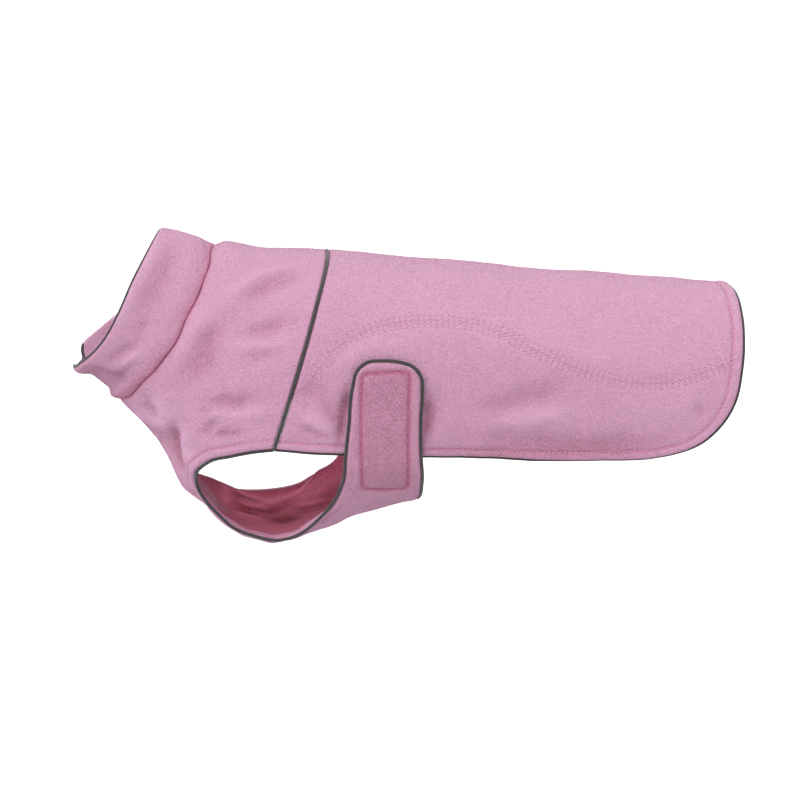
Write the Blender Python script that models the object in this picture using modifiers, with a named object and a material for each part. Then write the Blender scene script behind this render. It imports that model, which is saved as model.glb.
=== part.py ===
"""Dog winter coat in soft fleece, shown worn: stand collar, front cut in one with the chest,
the belly band and its two hook-and-loop tabs, a back panel, two side panels, and corded piping.

The garment is a wall on one hollow form. A place on it is a pair of distances in millimetres:
"at" runs along the back from the yoke seam to the tail, and "girth" runs round the body from
the top of the back, negative to the left side (-Y) and positive to the right side (+Y).
The head is at -X, the tail at +X, +Z is up, and the origin is inside the top of the back at
the yoke seam, where the wearer's withers carry the coat.
"""

from collections import namedtuple

import bpy
import numpy as np
from mathutils import geometry

# Driving dimensions, in millimetres
MM = 0.001
WALL = 2.5                 # fleece, with its nap
COLLAR_WALL = 3.0          # the collar is two layers of fleece
SEAM_GAP = 0.3             # between neighbouring pieces
CHEST_GAP = 0.7            # between the edges that meet under the chest, on a tight bend
PIPING = 2.7               # diameter of the corded piping
PIPING_GAP = 0.45          # from the cord to the cloth edge beside it
PIPING_RISE = 0.7          # of the piping that lies in a seam
COLLAR_RIM = -101.0
COLLAR_SEAM = -68.0
YOKE_SEAM = 0.0
TAIL = 243.0
TAB_LIFT = 3.4             # the tabs lie on the side panels
BAND_FRONT = 20.0          # the belly band lies behind this
TAB_REACH = (170.0, 148.0)  # girth over which the band climbs onto the side panels
CLOTH_STEP = 10.0          # mesh spacing inside a panel
EDGE_STEP = 5.0            # mesh spacing along an edge
NEAREST = 1.2              # the closest that two points of an outline come
PIPE_BEND = 12.0           # largest turn between two points of the piping, in degrees
PIPE_STEP = 14.0           # longest stretch between two points of the piping

# Sections of the form: back is the top centre and belly the bottom centre of the section,
# half_width is its half width at the share "widest" of the way down, top and bottom are how
# square the section is above and below that, and sweep is how far its sides lean to the tail.
Section = namedtuple(
    "Section", "at back_x back_z belly_x belly_z half_width widest top bottom sweep")
SECTIONS = [
    Section(-101, -99.3, 13.3, -153.0, -67.8, 37, 0.50, 2.0, 2.0, 2.5),
    Section(-85, -84.1, 10.5, -138.5, -77.8, 37, 0.50, 2.0, 2.0, 6.0),
    Section(-68, -67.7, 6.5, -126.5, -87.8, 41, 0.50, 2.0, 2.0, 8.5),
    Section(-48, -48.1, 4.5, -104.5, -112.0, 49, 0.50, 2.1, 2.1, 8.0),
    Section(-26, -25.6, 3.0, -85.5, -148.0, 56, 0.48, 2.2, 2.4, 4.5),
    Section(0, 0.0, 1.25, -55.5, -174.3, 61, 0.46, 2.3, 2.8, 0.5),
    Section(16, 16.0, -0.3, -28.0, -179.3, 62, 0.46, 2.3, 2.8, 0.5),
    Section(38, 37.0, -2.7, 2.8, -164.8, 62, 0.46, 2.3, 2.8, 0.0),
    Section(66, 65.2, -5.7, 47.9, -150.3, 61, 0.46, 2.3, 2.8, 0.0),
    Section(116, 115.2, -11.5, 109.7, -159.8, 59, 0.45, 2.3, 2.8, 0.0),
    Section(177, 175.9, -17.0, 175.6, -168.3, 57, 0.44, 2.3, 2.8, 0.0),
    Section(243, 242.0, -22.7, 243.0, -173.8, 54, 0.42, 2.3, 2.8, 0.0),
]

# Lines of the right side; the left side is the same with negative girth.
Place = namedtuple("Place", "at girth")
ARMHOLE = [Place(*row) for row in (
    (0, 145.5), (-10, 148), (-19, 151), (-26, 155), (-29.5, 163), (-29, 175), (-23, 189),
    (-13, 201), (0, 211), (10, 213), (20, 203), (27, 190), (32, 178), (34, 163), (32, 145))]
TAB = [Place(*row) for row in (
    (32, 145), (30, 125), (27.5, 103), (28.5, 92.5), (33, 88), (41, 86.5), (49, 86.5),
    (56, 88.5), (60.5, 94), (62, 103), (63, 118), (65, 138), (68, 160), (69, 178), (68, 198),
    (67, 218.5))]
HEM = [Place(*row) for row in (
    (0, 145.5), (15, 144.5), (45, 143.5), (72, 142), (100, 139), (128, 137), (155, 134),
    (188, 130.5), (204, 126), (218, 119), (231, 105.5), (238, 92), (242, 73), (243, 50),
    (243, 25), (243, 0))]
SIDE_SEAM = [Place(*row) for row in (
    (0, 112), (5, 105), (9, 93), (14, 82), (24, 73), (37, 67), (50, 63.5),
    (67, 61.5), (89, 62), (101, 64), (116, 70), (132, 76), (149, 81), (166, 84.5), (183, 85),
    (199, 83), (214, 78), (231, 70), (243, 63))]

# Folds in the cloth, from one place to another: side is -1 left, 1 right; depth is the drop
# at the middle of the fold, and width its half width.
Fold = namedtuple("Fold", "side at girth to_at to_girth depth width")
FOLDS = [
    Fold(-1, -84, 26, -83, 74, 1.6, 6),
    Fold(-1, -80, 92, -77, 124, 1.6, 5),
    Fold(-1, -50, 44, -56, 98, 3.0, 12),
    Fold(-1, -36, 52, -24, 92, 2.0, 11),
    Fold(-1, -42, 114, -8, 114, 1.5, 7),
    Fold(-1, -62, 114, -50, 142, 2.2, 6),
    Fold(-1, -51, 132, -36, 164, 3.0, 5),
    Fold(-1, 23, 100, 29, 134, 2.2, 7),
    Fold(-1, 67, 104, 71, 138, 2.2, 8),
    Fold(-1, 78, 116, 165, 108, 1.8, 16),
    Fold(1, -82, 34, -84, 84, 1.5, 6),
    Fold(1, -78, 100, -80, 128, 1.6, 5),
    Fold(1, -54, 38, -50, 90, 2.8, 12),
    Fold(1, -30, 60, -22, 104, 2.2, 10),
    Fold(1, -44, 120, -14, 126, 1.6, 7),
    Fold(1, -58, 118, -44, 150, 2.4, 6),
    Fold(1, 22, 104, 28, 136, 2.0, 7),
    Fold(1, 68, 100, 72, 136, 2.4, 8),
    Fold(1, 96, 112, 182, 110, 1.6, 15),
]

FLEECE = (0.67, 0.36, 0.53)
FLEECE_FINISH = {"Roughness": 0.95, "Metallic": 0.0}
PIPING_COLOUR = (0.095, 0.085, 0.09)
PIPING_FINISH = {"Roughness": 0.8, "Metallic": 0.0}


def through(keys, values, at):
    """A smooth curve through rows of values, read at any place along the keys."""
    keys = np.asarray(keys, float)
    values = np.asarray(values, float)
    at = np.clip(at, keys[0], keys[-1])
    slopes = np.gradient(values, keys, axis=0)
    i = np.clip(np.searchsorted(keys, at) - 1, 0, len(keys) - 2)
    span = (keys[i + 1] - keys[i])[..., None]
    t = (at - keys[i])[..., None] / span
    return ((1 + 2 * t) * (1 - t) ** 2 * values[i] + t * (1 - t) ** 2 * span * slopes[i]
            + t * t * (3 - 2 * t) * values[i + 1] + t * t * (t - 1) * span * slopes[i + 1])


def ease(share):
    share = np.clip(share, 0.0, 1.0)
    return share * share * (3 - 2 * share)


class Form:
    """The hollow form that the cloth lies on, with girth measured along each section."""

    STATIONS = 161
    TURNS = 241

    def __init__(self, sections):
        self.keys = [row.at for row in sections]
        self.rows = [row[1:] for row in sections]
        self.stations = np.linspace(self.keys[0], self.keys[-1], self.STATIONS)
        self.turns = np.linspace(0.0, np.pi, self.TURNS)
        grid = self.at_turn(*np.broadcast_arrays(self.stations[:, None], self.turns))
        steps = np.linalg.norm(np.diff(grid, axis=1), axis=2)
        self.girths = np.hstack([np.zeros((self.STATIONS, 1)), np.cumsum(steps, axis=1)])

    def at_turn(self, at, turn):
        """Point of the right half of a section, turned from the back (0) to the belly (pi)."""
        row = np.moveaxis(through(self.keys, self.rows, at), -1, 0)
        back_x, back_z, belly_x, belly_z, half_width, widest, top, bottom, sweep = row
        up = np.cos(turn)
        out = np.abs(np.sin(turn))
        power = 2 / np.where(up > 0, top, bottom)
        rise = np.sign(up) * np.abs(up) ** power * np.where(up > 0, widest, 1 - widest)
        down_x = belly_x - back_x
        down_z = belly_z - back_z
        lean = sweep * out ** 2 / np.hypot(down_x, down_z)
        x = back_x + down_x * (widest - rise) - down_z * lean
        z = back_z + down_z * (widest - rise) + down_x * lean
        return np.stack([x, half_width * out ** power, z], -1)

    def half_girth(self, at):
        return np.interp(at, self.stations, self.girths[:, -1])

    def point(self, at, girth):
        """Points of the form at arrays of (at, signed girth)."""
        at = np.asarray(at, float)
        girth = np.asarray(girth, float)
        step = (at - self.stations[0]) / (self.stations[1] - self.stations[0])
        step = np.clip(step, 0, self.STATIONS - 1.001)
        low = step.astype(int)
        share = (step - low)[:, None]
        walked = self.girths[low] * (1 - share) + self.girths[low + 1] * share
        turn = np.array([np.interp(g, row, self.turns) for g, row in zip(abs(girth), walked)])
        found = self.at_turn(at, turn)
        found[:, 1] *= np.where(girth < 0, -1, 1)
        return found

    def axes(self, at, girth):
        """The two directions of the cloth and its outward normal."""
        reach = 0.5
        most = self.half_girth(at)
        along = self.point(at + reach, girth) - self.point(at - reach, girth)
        around = (self.point(at, np.minimum(girth + reach, most))
                  - self.point(at, np.maximum(girth - reach, -most)))
        normal = np.cross(along, around)
        return [v / np.linalg.norm(v, axis=1)[:, None] for v in (along, around, normal)]


FORM = Form(SECTIONS)


def fold_drop(places):
    """How far the folds press the cloth in at each place."""
    drop = np.zeros(len(places))
    for fold in FOLDS:
        start = np.array([fold.at, fold.side * fold.girth], float)
        run = np.array([fold.to_at, fold.side * fold.to_girth]) - start
        share = ((places - start) @ run) / (run @ run)
        nearest = start + np.clip(share, 0, 1)[:, None] * run
        away = np.linalg.norm(places - nearest, axis=1)
        fade = ease(1.25 - 1.25 * np.abs(2 * np.clip(share, 0, 1) - 1) ** 3)
        drop += fold.depth * np.exp(-(away / fold.width) ** 2) * (0.35 + 0.65 * fade)
    return drop


def body_lift(places):
    """The cloth of the body follows the form, but for its folds."""
    return -fold_drop(places)


def collar_lift(places):
    """The collar stands off the form and puffs out above its seam."""
    height = (COLLAR_SEAM - places[:, 0]) / (COLLAR_SEAM - COLLAR_RIM)
    puff = ease(height / 0.3) * (1 - 0.8 * ease((height - 0.3) / 0.7))
    return 0.5 + 2.8 * puff - fold_drop(places)


def front_lift(places):
    """The belly band climbs onto the side panels, where the tabs close it, flat and smooth."""
    low, high = TAB_REACH
    climb = TAB_LIFT * ease((low - np.abs(places[:, 1])) / (low - high))
    return np.where(places[:, 0] > BAND_FRONT, climb, -fold_drop(places))


def yoke_lift(places):
    """The piping in the yoke seam stands a little proud of the cloth beside it."""
    return PIPING_RISE - fold_drop(places)


def on_form(places, lift):
    """World points of places on the cloth's middle surface, in millimetres."""
    normal = FORM.axes(*places.T)[2]
    return FORM.point(*places.T) + normal * lift(places)[:, None]


def smooth(places, step):
    """A smooth line through a few places, in even steps of about the given length."""
    places = np.array(places, float)
    walked = np.concatenate([[0], np.cumsum(np.linalg.norm(np.diff(places, axis=0), axis=1))])
    count = max(2, int(round(walked[-1] / step)) + 1)
    return through(walked, places, np.linspace(0, walked[-1], count))


def mirrored(line):
    return line[::-1] * (1, -1)


def moved_in(line, distance):
    """The line moved over the cloth to the left of its run, by a real distance."""
    along, around, normal = FORM.axes(*line.T)
    run = np.gradient(line, axis=0)
    tangent = along * run[:, :1] + around * run[:, 1:]
    aside = np.cross(normal, tangent)
    aside *= distance / np.linalg.norm(aside, axis=1)[:, None]
    reach = 0.5
    at_step = (FORM.point(line[:, 0] + reach, line[:, 1])
               - FORM.point(line[:, 0] - reach, line[:, 1])) / (2 * reach)
    shift = []
    for move, grow, turn in zip(aside, at_step, around):
        shift.append(np.linalg.lstsq(np.stack([grow, turn], 1), move, rcond=None)[0])
    return line + np.array(shift)


def crossing(line, other):
    """The first step of a line that crosses another line, and the place where it does."""
    for step, (a, b) in enumerate(zip(line[:-1], line[1:])):
        for c, d in zip(other[:-1], other[1:]):
            sides = np.stack([b - a, c - d], 1)
            if abs(np.linalg.det(sides)) < 1e-9:
                continue
            along, across_it = np.linalg.solve(sides, c - a)
            if 0 <= along <= 1 and 0 <= across_it <= 1:
                return step, a + along * (b - a)
    raise ValueError("two edges of a panel do not meet")


def outline(edges):
    """One closed outline, anticlockwise, from edges that cross each other in turn."""
    loop = []
    for k, edge in enumerate(edges):
        first, start = crossing(edge, edges[k - 1])
        last = crossing(edge[::-1], edges[(k + 1) % len(edges)])[0]
        loop.append(start)
        loop.extend(edge[first + 1:len(edge) - 1 - last])
    kept = [loop[0]]
    for place in loop[1:]:
        if min(np.linalg.norm(place - kept[-1]), np.linalg.norm(place - kept[0])) > NEAREST:
            kept.append(place)
    return np.array(kept)


def inside(loop, places):
    """Which places lie inside a closed outline."""
    ahead = np.roll(loop, -1, axis=0)
    within = np.zeros(len(places), bool)
    for (x0, y0), (x1, y1) in zip(loop, ahead):
        spans = (y0 > places[:, 1]) != (y1 > places[:, 1])
        with np.errstate(divide="ignore", invalid="ignore"):
            cut = x0 + (places[:, 1] - y0) * (x1 - x0) / (y1 - y0)
        within ^= spans & (places[:, 0] < cut)
    return within


def filled(loop, step):
    """Places and triangles that fill a closed outline on a staggered grid."""
    low = loop.min(axis=0)
    high = loop.max(axis=0)
    rows = []
    for k, girth in enumerate(np.arange(low[1] + step / 2, high[1], step * 0.87)):
        at = np.arange(low[0] + (k % 2) * step / 2, high[0], step)
        rows.append(np.stack([at, np.full(len(at), girth)], 1))
    grid = np.vstack(rows)
    grid = grid[inside(loop, grid)]
    nearest = np.min(np.linalg.norm(grid[:, None] - loop[None], axis=2), axis=1)
    grid = grid[nearest > 0.55 * step]
    places = np.vstack([loop, grid])
    border = [(k, (k + 1) % len(loop)) for k in range(len(loop))]
    found = geometry.delaunay_2d_cdt(
        [tuple(p) for p in places], border, [list(range(len(loop)))], 1, 1e-5)
    return np.array([tuple(p) for p in found[0]]), [list(face) for face in found[2]]


def clear_scene():
    for item in list(bpy.data.objects):
        bpy.data.objects.remove(item, do_unlink=True)


def coat_collection():
    coat = bpy.data.collections.new("dog_winter_coat")
    bpy.context.scene.collection.children.link(coat)
    return coat


def material(name, colour, finish):
    made = bpy.data.materials.new(name)
    made.use_nodes = True
    shader = made.node_tree.nodes["Principled BSDF"]
    shader.inputs["Base Color"].default_value = (*colour, 1.0)
    for socket, value in finish.items():
        shader.inputs[socket].default_value = value
    return made


def cloth_panel(coat, name, loop, lift, wall):
    """One cut piece of fleece: its outline filled, laid on the form and given its wall."""
    places, faces = filled(loop, CLOTH_STEP)
    mesh = bpy.data.meshes.new(name)
    mesh.from_pydata([tuple(p) for p in on_form(places, lift) * MM], [], faces)
    mesh.shade_smooth()
    mesh.materials.append(material(name, FLEECE, FLEECE_FINISH))
    panel = bpy.data.objects.new(name, mesh)
    coat.objects.link(panel)
    solid = panel.modifiers.new("wall", "SOLIDIFY")
    solid.thickness = wall * MM
    solid.offset = 0.0
    return panel


def thinned(points):
    """The points of a line that its bends need."""
    kept = [points[0]]
    heading = None
    for before, here, after in zip(points[:-2], points[1:-1], points[2:]):
        ahead = (after - here) / np.linalg.norm(after - here)
        if heading is None:
            heading = (here - before) / np.linalg.norm(here - before)
        turned = np.degrees(np.arccos(np.clip(heading @ ahead, -1, 1)))
        if turned > PIPE_BEND or np.linalg.norm(after - kept[-1]) > PIPE_STEP:
            kept.append(here)
            heading = ahead
    return kept + [points[-1]]


def piping(coat, name, line, lift):
    """Corded piping along a line on the form."""
    curve = bpy.data.curves.new(name, "CURVE")
    curve.dimensions = "3D"
    curve.bevel_depth = PIPING / 2 * MM
    curve.bevel_resolution = 2
    curve.use_fill_caps = True
    points = thinned(on_form(line, lift))
    spline = curve.splines.new("POLY")
    spline.points.add(len(points) - 1)
    for knot, point in zip(spline.points, points):
        knot.co = (*(point * MM), 1.0)
    curve.materials.append(material(name, PIPING_COLOUR, PIPING_FINISH))
    cord = bpy.data.objects.new(name, curve)
    coat.objects.link(cord)
    return cord


def cut_short(line, start, end):
    """The line without the given lengths at its two ends."""
    walked = np.concatenate([[0], np.cumsum(np.linalg.norm(np.diff(line, axis=0), axis=1))])
    keep = np.linspace(start, walked[-1] - end, len(line))
    return np.stack([np.interp(keep, walked, line[:, k]) for k in range(2)], 1)


def extended(line, length):
    """The line run on straight past both ends."""
    ends = []
    for end, before in ((line[0], line[1]), (line[-1], line[-2])):
        ends.append(end + (end - before) / np.linalg.norm(end - before) * length)
    return np.vstack([ends[0], line, ends[1]])


def round_body(at, start, end):
    """A line round the body at one place along the back."""
    girth = np.linspace(start, end, int(abs(end - start) / EDGE_STEP) + 1)
    return np.stack([np.full(len(girth), at), girth], 1)


def chest_line():
    """The right edge of the seam under the neck and chest, from the band to the rim."""
    at = np.arange(TAIL, COLLAR_RIM - EDGE_STEP, -EDGE_STEP)
    return np.stack([at, FORM.half_girth(at) - CHEST_GAP / 2], 1)


def mirrored_edges(edges):
    return [mirrored(edge) for edge in reversed(edges)]


def build_coat():
    clear_scene()
    coat = coat_collection()
    whole = 400.0                               # more than half way round anywhere
    beside = PIPING / 2 + PIPING_GAP            # from a piping's centre line to the cloth
    chest = chest_line()
    armhole = smooth(ARMHOLE, EDGE_STEP)
    tab = smooth(TAB, EDGE_STEP)
    front_edge = np.vstack([armhole, tab[1:]])
    hem = smooth(HEM, EDGE_STEP)
    seam = smooth(SIDE_SEAM, EDGE_STEP)

    cloth_panel(coat, "collar", outline([
        chest,
        round_body(COLLAR_RIM + beside, whole, -whole),
        mirrored(chest),
        round_body(COLLAR_SEAM - SEAM_GAP, -whole, whole),
    ]), collar_lift, COLLAR_WALL)

    front_side = extended(moved_in(front_edge, beside), 8)
    armhole_top = 160.0                         # the yoke seam ends above this
    cloth_panel(coat, "front", outline([
        chest,
        round_body(COLLAR_SEAM + SEAM_GAP, whole, -whole),
        mirrored(chest),
        mirrored(front_side),
        round_body(YOKE_SEAM - beside, -armhole_top, armhole_top),
        front_side,
    ]), front_lift, WALL)

    back_seam = extended(moved_in(seam[::-1], SEAM_GAP / 2), 5)
    cloth_panel(coat, "back", outline([
        mirrored(back_seam),
        round_body(TAIL - beside, -whole, whole),
        back_seam,
        round_body(YOKE_SEAM + beside, whole, -whole),
    ]), body_lift, WALL)

    right_side = [
        extended(moved_in(seam, SEAM_GAP / 2), 5),
        moved_in(hem[::-1], beside),
        round_body(YOKE_SEAM + beside, whole, -whole),
    ]
    cloth_panel(coat, "side_right", outline(right_side), body_lift, WALL)
    cloth_panel(coat, "side_left", outline(mirrored_edges(right_side)), body_lift, WALL)

    rim_reach = FORM.half_girth(COLLAR_RIM) - CHEST_GAP / 2
    piping(coat, "collar_piping", round_body(COLLAR_RIM, rim_reach, -rim_reach), collar_lift)
    seam_reach = ARMHOLE[0].girth - beside
    piping(coat, "yoke_piping", round_body(YOKE_SEAM, seam_reach, -seam_reach), yoke_lift)
    piping(coat, "hem_piping",
           cut_short(np.vstack([hem, mirrored(hem)[1:]]), SEAM_GAP, SEAM_GAP), body_lift)
    front_piping = cut_short(front_edge, SEAM_GAP, 0.0)
    piping(coat, "armhole_piping_right", front_piping, front_lift)
    piping(coat, "armhole_piping_left", mirrored(front_piping), front_lift)


build_coat()
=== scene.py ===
from collections import namedtuple

import bmesh
import bpy
import numpy as np
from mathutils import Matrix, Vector, geometry, kdtree


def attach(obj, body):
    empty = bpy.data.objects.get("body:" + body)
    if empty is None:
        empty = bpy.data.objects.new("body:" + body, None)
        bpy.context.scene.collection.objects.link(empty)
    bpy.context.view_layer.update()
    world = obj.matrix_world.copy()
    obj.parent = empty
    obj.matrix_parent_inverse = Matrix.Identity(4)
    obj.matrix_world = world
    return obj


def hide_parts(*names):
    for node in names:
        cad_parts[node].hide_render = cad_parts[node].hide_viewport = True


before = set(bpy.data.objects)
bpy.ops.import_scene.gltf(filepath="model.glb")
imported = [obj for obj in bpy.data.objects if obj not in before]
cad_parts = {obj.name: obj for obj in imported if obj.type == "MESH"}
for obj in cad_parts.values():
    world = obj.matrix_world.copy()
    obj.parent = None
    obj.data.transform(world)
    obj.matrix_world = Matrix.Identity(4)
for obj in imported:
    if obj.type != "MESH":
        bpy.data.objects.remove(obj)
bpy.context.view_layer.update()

# Back panel: one piece of brushed fleece from the yoke seam to the tail, cut to the curved
# side seams. It is laid on the hollow shape of the worn coat, on which a place is a pair of
# distances in millimetres, "at" along the back and "girth" round the body (-left, +right).
MM = 0.001
WALL = 2.5                     # fleece, with its nap
CORD = 1.95                    # what shows of the corded piping, across
SNUG = 1.0                     # from the middle of a cord that shows to the cloth beside it
TUCKED = 0.1                   # the same at hem and rim, where the cloth rolls over the cord
CORD_SHOWS = 0.65              # more than that round the tail and along the front of the hem
YOKE_SEAM = 0.0
TAIL = 243.0
WHOLE = 400.0                  # more than half way round the body anywhere
LINE_STEP = 1.6                # between the points of a sewn line
CLOTH_STEP = 1.9               # between the points of the cloth
CLOTH_ROWS = 0.87              # between its rows, as a share of that
CLOTH_CLEAR = 0.72             # the least between a point of them and any other, the same
EDGE_ROWS = (0.4, 0.95, 1.6, 2.4)
EDGE_CLEAR = 0.38              # the least between two points along edges and stitching
RING_TRUE = 0.9                # points of an edge row that come closer than this share go
ROUND_EDGE = 1.9               # how far in an edge starts to round off
EDGE_DROP = 0.95
EDGE_SHADE = 0.15               # how much painted shade, a deeper pink, lies on it
EDGE_PUFF = 0.5                # how far a topstitched edge swells
TURNED_UNDER = 0.6             # the allowance turned in below it
HEM_STITCH = (4.9, 6.1)        # from the cloth's edge to the topstitching: hem, then tail
STITCH_PRESS = 0.75            # how deep topstitching presses the fleece
STITCH_PULL = 0.3              # and how far it pulls the lining out
STITCH_WIDTH = 0.9
STITCH_SHADE = 0.65             # how much painted shade, a deeper pink, lies in its line
# width of that painted shade
STITCH_SHADE_WIDTH = 0.6
UNDER_END = 1.5                # the allowance ends this far past the topstitching
NEEDLE_ROWS = (1.1, 3.25)      # from the side seam to its needle rows, on each side
SEAM_CLEAR = 7.0               # the flat-lock stitches start this far from the yoke seam
SEAM_PITCH = 3.45              # length of one flat-lock stitch
SEAM_REACH = 6.0               # how far from a side seam its stitching can lie
SEAM_SINK = (0.15, 0.12)       # how far the flat seam lies lower, and its needle rows again
SEAM_SLOPE = 1.6               # width over which it comes up again
NEEDLE_WIDTH = 0.5
SIDE_GAP = 0.03                # half the width of a side seam
FOLD_END = 0.3                 # how deep a fold still is at its ends
FOLD_FADE = 0.3                # share of its length over which it fades to that
FOLD_SHADE = (0.085, 0.28)     # painted shade for each millimetre of a fold's depth, painted highlight on a ridge: wide, narrow
FOLD_STRAY = 0.9               # how far the folds stray from their runs, in waves of this length:
STRAY_WAVES = 21
RIGHT_APART = (3.5, 3.0)       # how far the right side's folds fall from the left's
LINING_PRESS = 0.3             # how much of a fold's depth the lining takes
LINING_SHADE = 2.3             # and how much more painted shade, or painted highlight, it gets
OUTER_SHADES = (-0.22, 0.65)   # the strongest painted highlight and painted shade that folds put on the two faces
LINING_SHADES = (-0.9, 1.2)
TURNED_PALE = 0.8              # how much of the lining's deeper pink, a painted glow, turned-in cloth lacks
Groove = namedtuple("Groove", "depth width")     # a line pressed into the cloth, or the painted shade along it
Faces = namedtuple("Faces", "outer inner crease shade lining stitches nearness")
Section = namedtuple(
    "Section", "at back_x back_z belly_x belly_z half_width widest top bottom sweep")
SECTIONS = [
    Section(-101, -99.3, 13.3, -153.0, -67.8, 37, 0.50, 2.0, 2.0, 2.5),
    Section(-85, -84.1, 10.5, -138.5, -77.8, 37, 0.50, 2.0, 2.0, 6.0),
    Section(-68, -67.7, 6.5, -126.5, -87.8, 41, 0.50, 2.0, 2.0, 8.5),
    Section(-48, -48.1, 4.5, -104.5, -112.0, 49, 0.50, 2.1, 2.1, 8.0),
    Section(-26, -25.6, 3.0, -85.5, -148.0, 56, 0.48, 2.2, 2.4, 4.5),
    Section(0, 0.0, 1.25, -55.5, -174.3, 61, 0.46, 2.3, 2.8, 0.5),
    Section(16, 16.0, -0.3, -28.0, -179.3, 62, 0.46, 2.3, 2.8, 0.5),
    Section(38, 37.0, -2.7, 2.8, -164.8, 62, 0.46, 2.3, 2.8, 0.0),
    Section(66, 65.2, -5.7, 47.9, -150.3, 61, 0.46, 2.3, 2.8, 0.0),
    Section(116, 115.2, -11.5, 109.7, -159.8, 59, 0.45, 2.3, 2.8, 0.0),
    Section(177, 175.9, -17.0, 175.6, -168.3, 57, 0.44, 2.3, 2.8, 0.0),
    Section(243, 242.0, -22.7, 243.0, -173.8, 54, 0.42, 2.3, 2.8, 0.0),
]
Place = namedtuple("Place", "at girth")
Settled = namedtuple("Settled", "at by")
TOP = [Settled(*row) for row in (            # the cloth settles a little along the back
    (-105, 1.0), (-92, 1.6), (-80, 2.9), (-69, 3.3), (-61, 0.8), (-54, 0.8), (-44, 2.6),
    (0, 2.6), (30, 3.0), (70, 2.4), (120, 2.0), (160, 1.5), (243, 1.5))]
TOP_REACH = (12.0, 58.0)       # girth where this starts to fade, and where it has gone
Rumple = namedtuple("Rumple", "height wavelength seed")     # slight unevenness in soft waves
BODY_RUMPLES = (Rumple(0.45, 46, 3), Rumple(0.16, 15, 4))
SIDE_SEAM = [Place(*row) for row in (
    (0, 112), (5, 105), (9, 93), (14, 82), (24, 73), (37, 67), (50, 63.5),
    (67, 61.5), (89, 62), (101, 64), (116, 70), (132, 76), (149, 81), (166, 84.5), (183, 85),
    (199, 83), (214, 78), (231, 70), (243, 63))]
Fold = namedtuple("Fold", "depth width run")     # below nought it stands out as a ridge; its depth also paints shade in it, or a highlight on a ridge
# Besides pressing the cloth in, each fold's depth paints shade along it, and a ridge is painted
# lighter.
FOLDS = [Fold(depth, width, np.array(run, float)) for depth, width, *run in (
    # neck, shoulder and yoke
    (2.8, 6.0, (-50, 62), (-55, 76), (-52, 92), (-52, 106)),
    (-1.2, 6.0, (-62, 52), (-63, 72), (-60, 92)),
    (2.4, 8.0, (-12, 30), (-28, 38), (-44, 54)),
    (-1.2, 5.0, (-14, 24), (-36, 33), (-56, 50)),
    (1.8, 5.0, (-38, 72), (-26, 70), (-12, 67)),
    (-0.8, 4.0, (-42, 80), (-22, 80), (-4, 79)),
    (1.0, 4.0, (-32, 87), (-16, 85)),
    (2.2, 5.0, (-42, 113), (-30, 116), (-18, 113)),
    (-1.0, 4.0, (-44, 121), (-26, 124), (-6, 121)),
    (1.3, 2.6, (-44, 121.5), (-36, 121.5)),
    (1.8, 2.6, (-33, 127), (-35.5, 133), (-37, 140)),
    (1.8, 2.4, (-31, 137), (-27, 134), (-18, 136)),
    # chest
    (3.0, 2.8, (-50.5, 136), (-46.5, 146), (-42, 157), (-37.5, 169), (-35, 177)),
    (1.4, 5.5, (-49, 149), (-44, 163), (-39, 175)),
    (-2.2, 2.4, (-42.7, 141), (-40, 150), (-36.5, 159), (-31.5, 171)),
    (0.9, 1.6, (-66.5, 117), (-63, 121), (-61, 127), (-60, 135)),
    (1.2, 2.4, (-59, 127), (-55, 138)),
    (-1.8, 2.8, (-59, 117), (-54.5, 129.5), (-52, 141), (-50, 152)),
    (-1.2, 2.6, (-61, 140), (-54, 153)),
    # collar
    (1.6, 5.5, (-88, 16), (-90, 44), (-89, 64)),
    (1.2, 2.6, (-87, 66), (-85, 76)),
    (1.3, 3.2, (-85, 79), (-88, 90), (-90, 101)),
    (-1.0, 3.0, (-80, 84), (-84, 100)),
    (1.2, 3.2, (-77, 97), (-80, 106), (-81, 116)),
    # sides, from in front of the tabs to the tail
    (1.8, 6.5, (12, 102), (7, 113)),
    (-1.4, 4.5, (6, 121), (14, 125), (22, 131)),
    (1.2, 2.2, (8, 129), (20, 134)),
    (1.4, 3.0, (16, 112), (24, 127)),
    (-1.0, 6.0, (14, 90), (30, 80), (54, 77)),
    # painted shadow beside both edges of each tab, in narrow troughs
    (3.4, 2.9, (24.5, 103), (26, 113), (26.5, 122), (27.5, 138)),
    (3.0, 3.2, (65, 104), (66.5, 118), (66, 133)),
    (1.8, 7.0, (90, 113), (118, 100), (142, 88)),
    (-1.6, 6.0, (94, 117), (120, 111), (148, 104)),
    (2.2, 7.0, (84, 128), (130, 127), (172, 124), (200, 118)),
    (1.0, 4.0, (213, 99), (220, 97)),
    # painted light in wide bands along the sides, with a slight swell
    (-0.9, 14.0, (30, 60), (120, 66), (235, 72)),
    (-1.0, 11.0, (165, 105), (228, 93)),
    # painted shade along the hem, which is pressed in a little
    (1.7, 7.0, (74, 142), (100, 139), (130, 136), (192, 128)),
    (1.0, 5.5, (72, 141), (112, 137)),
    # rim of the collar: a painted highlight along it, with a slight swell
    (-1.4, 4.5, (-99, 14), (-99, 50), (-97, 82)),
)]
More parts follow.
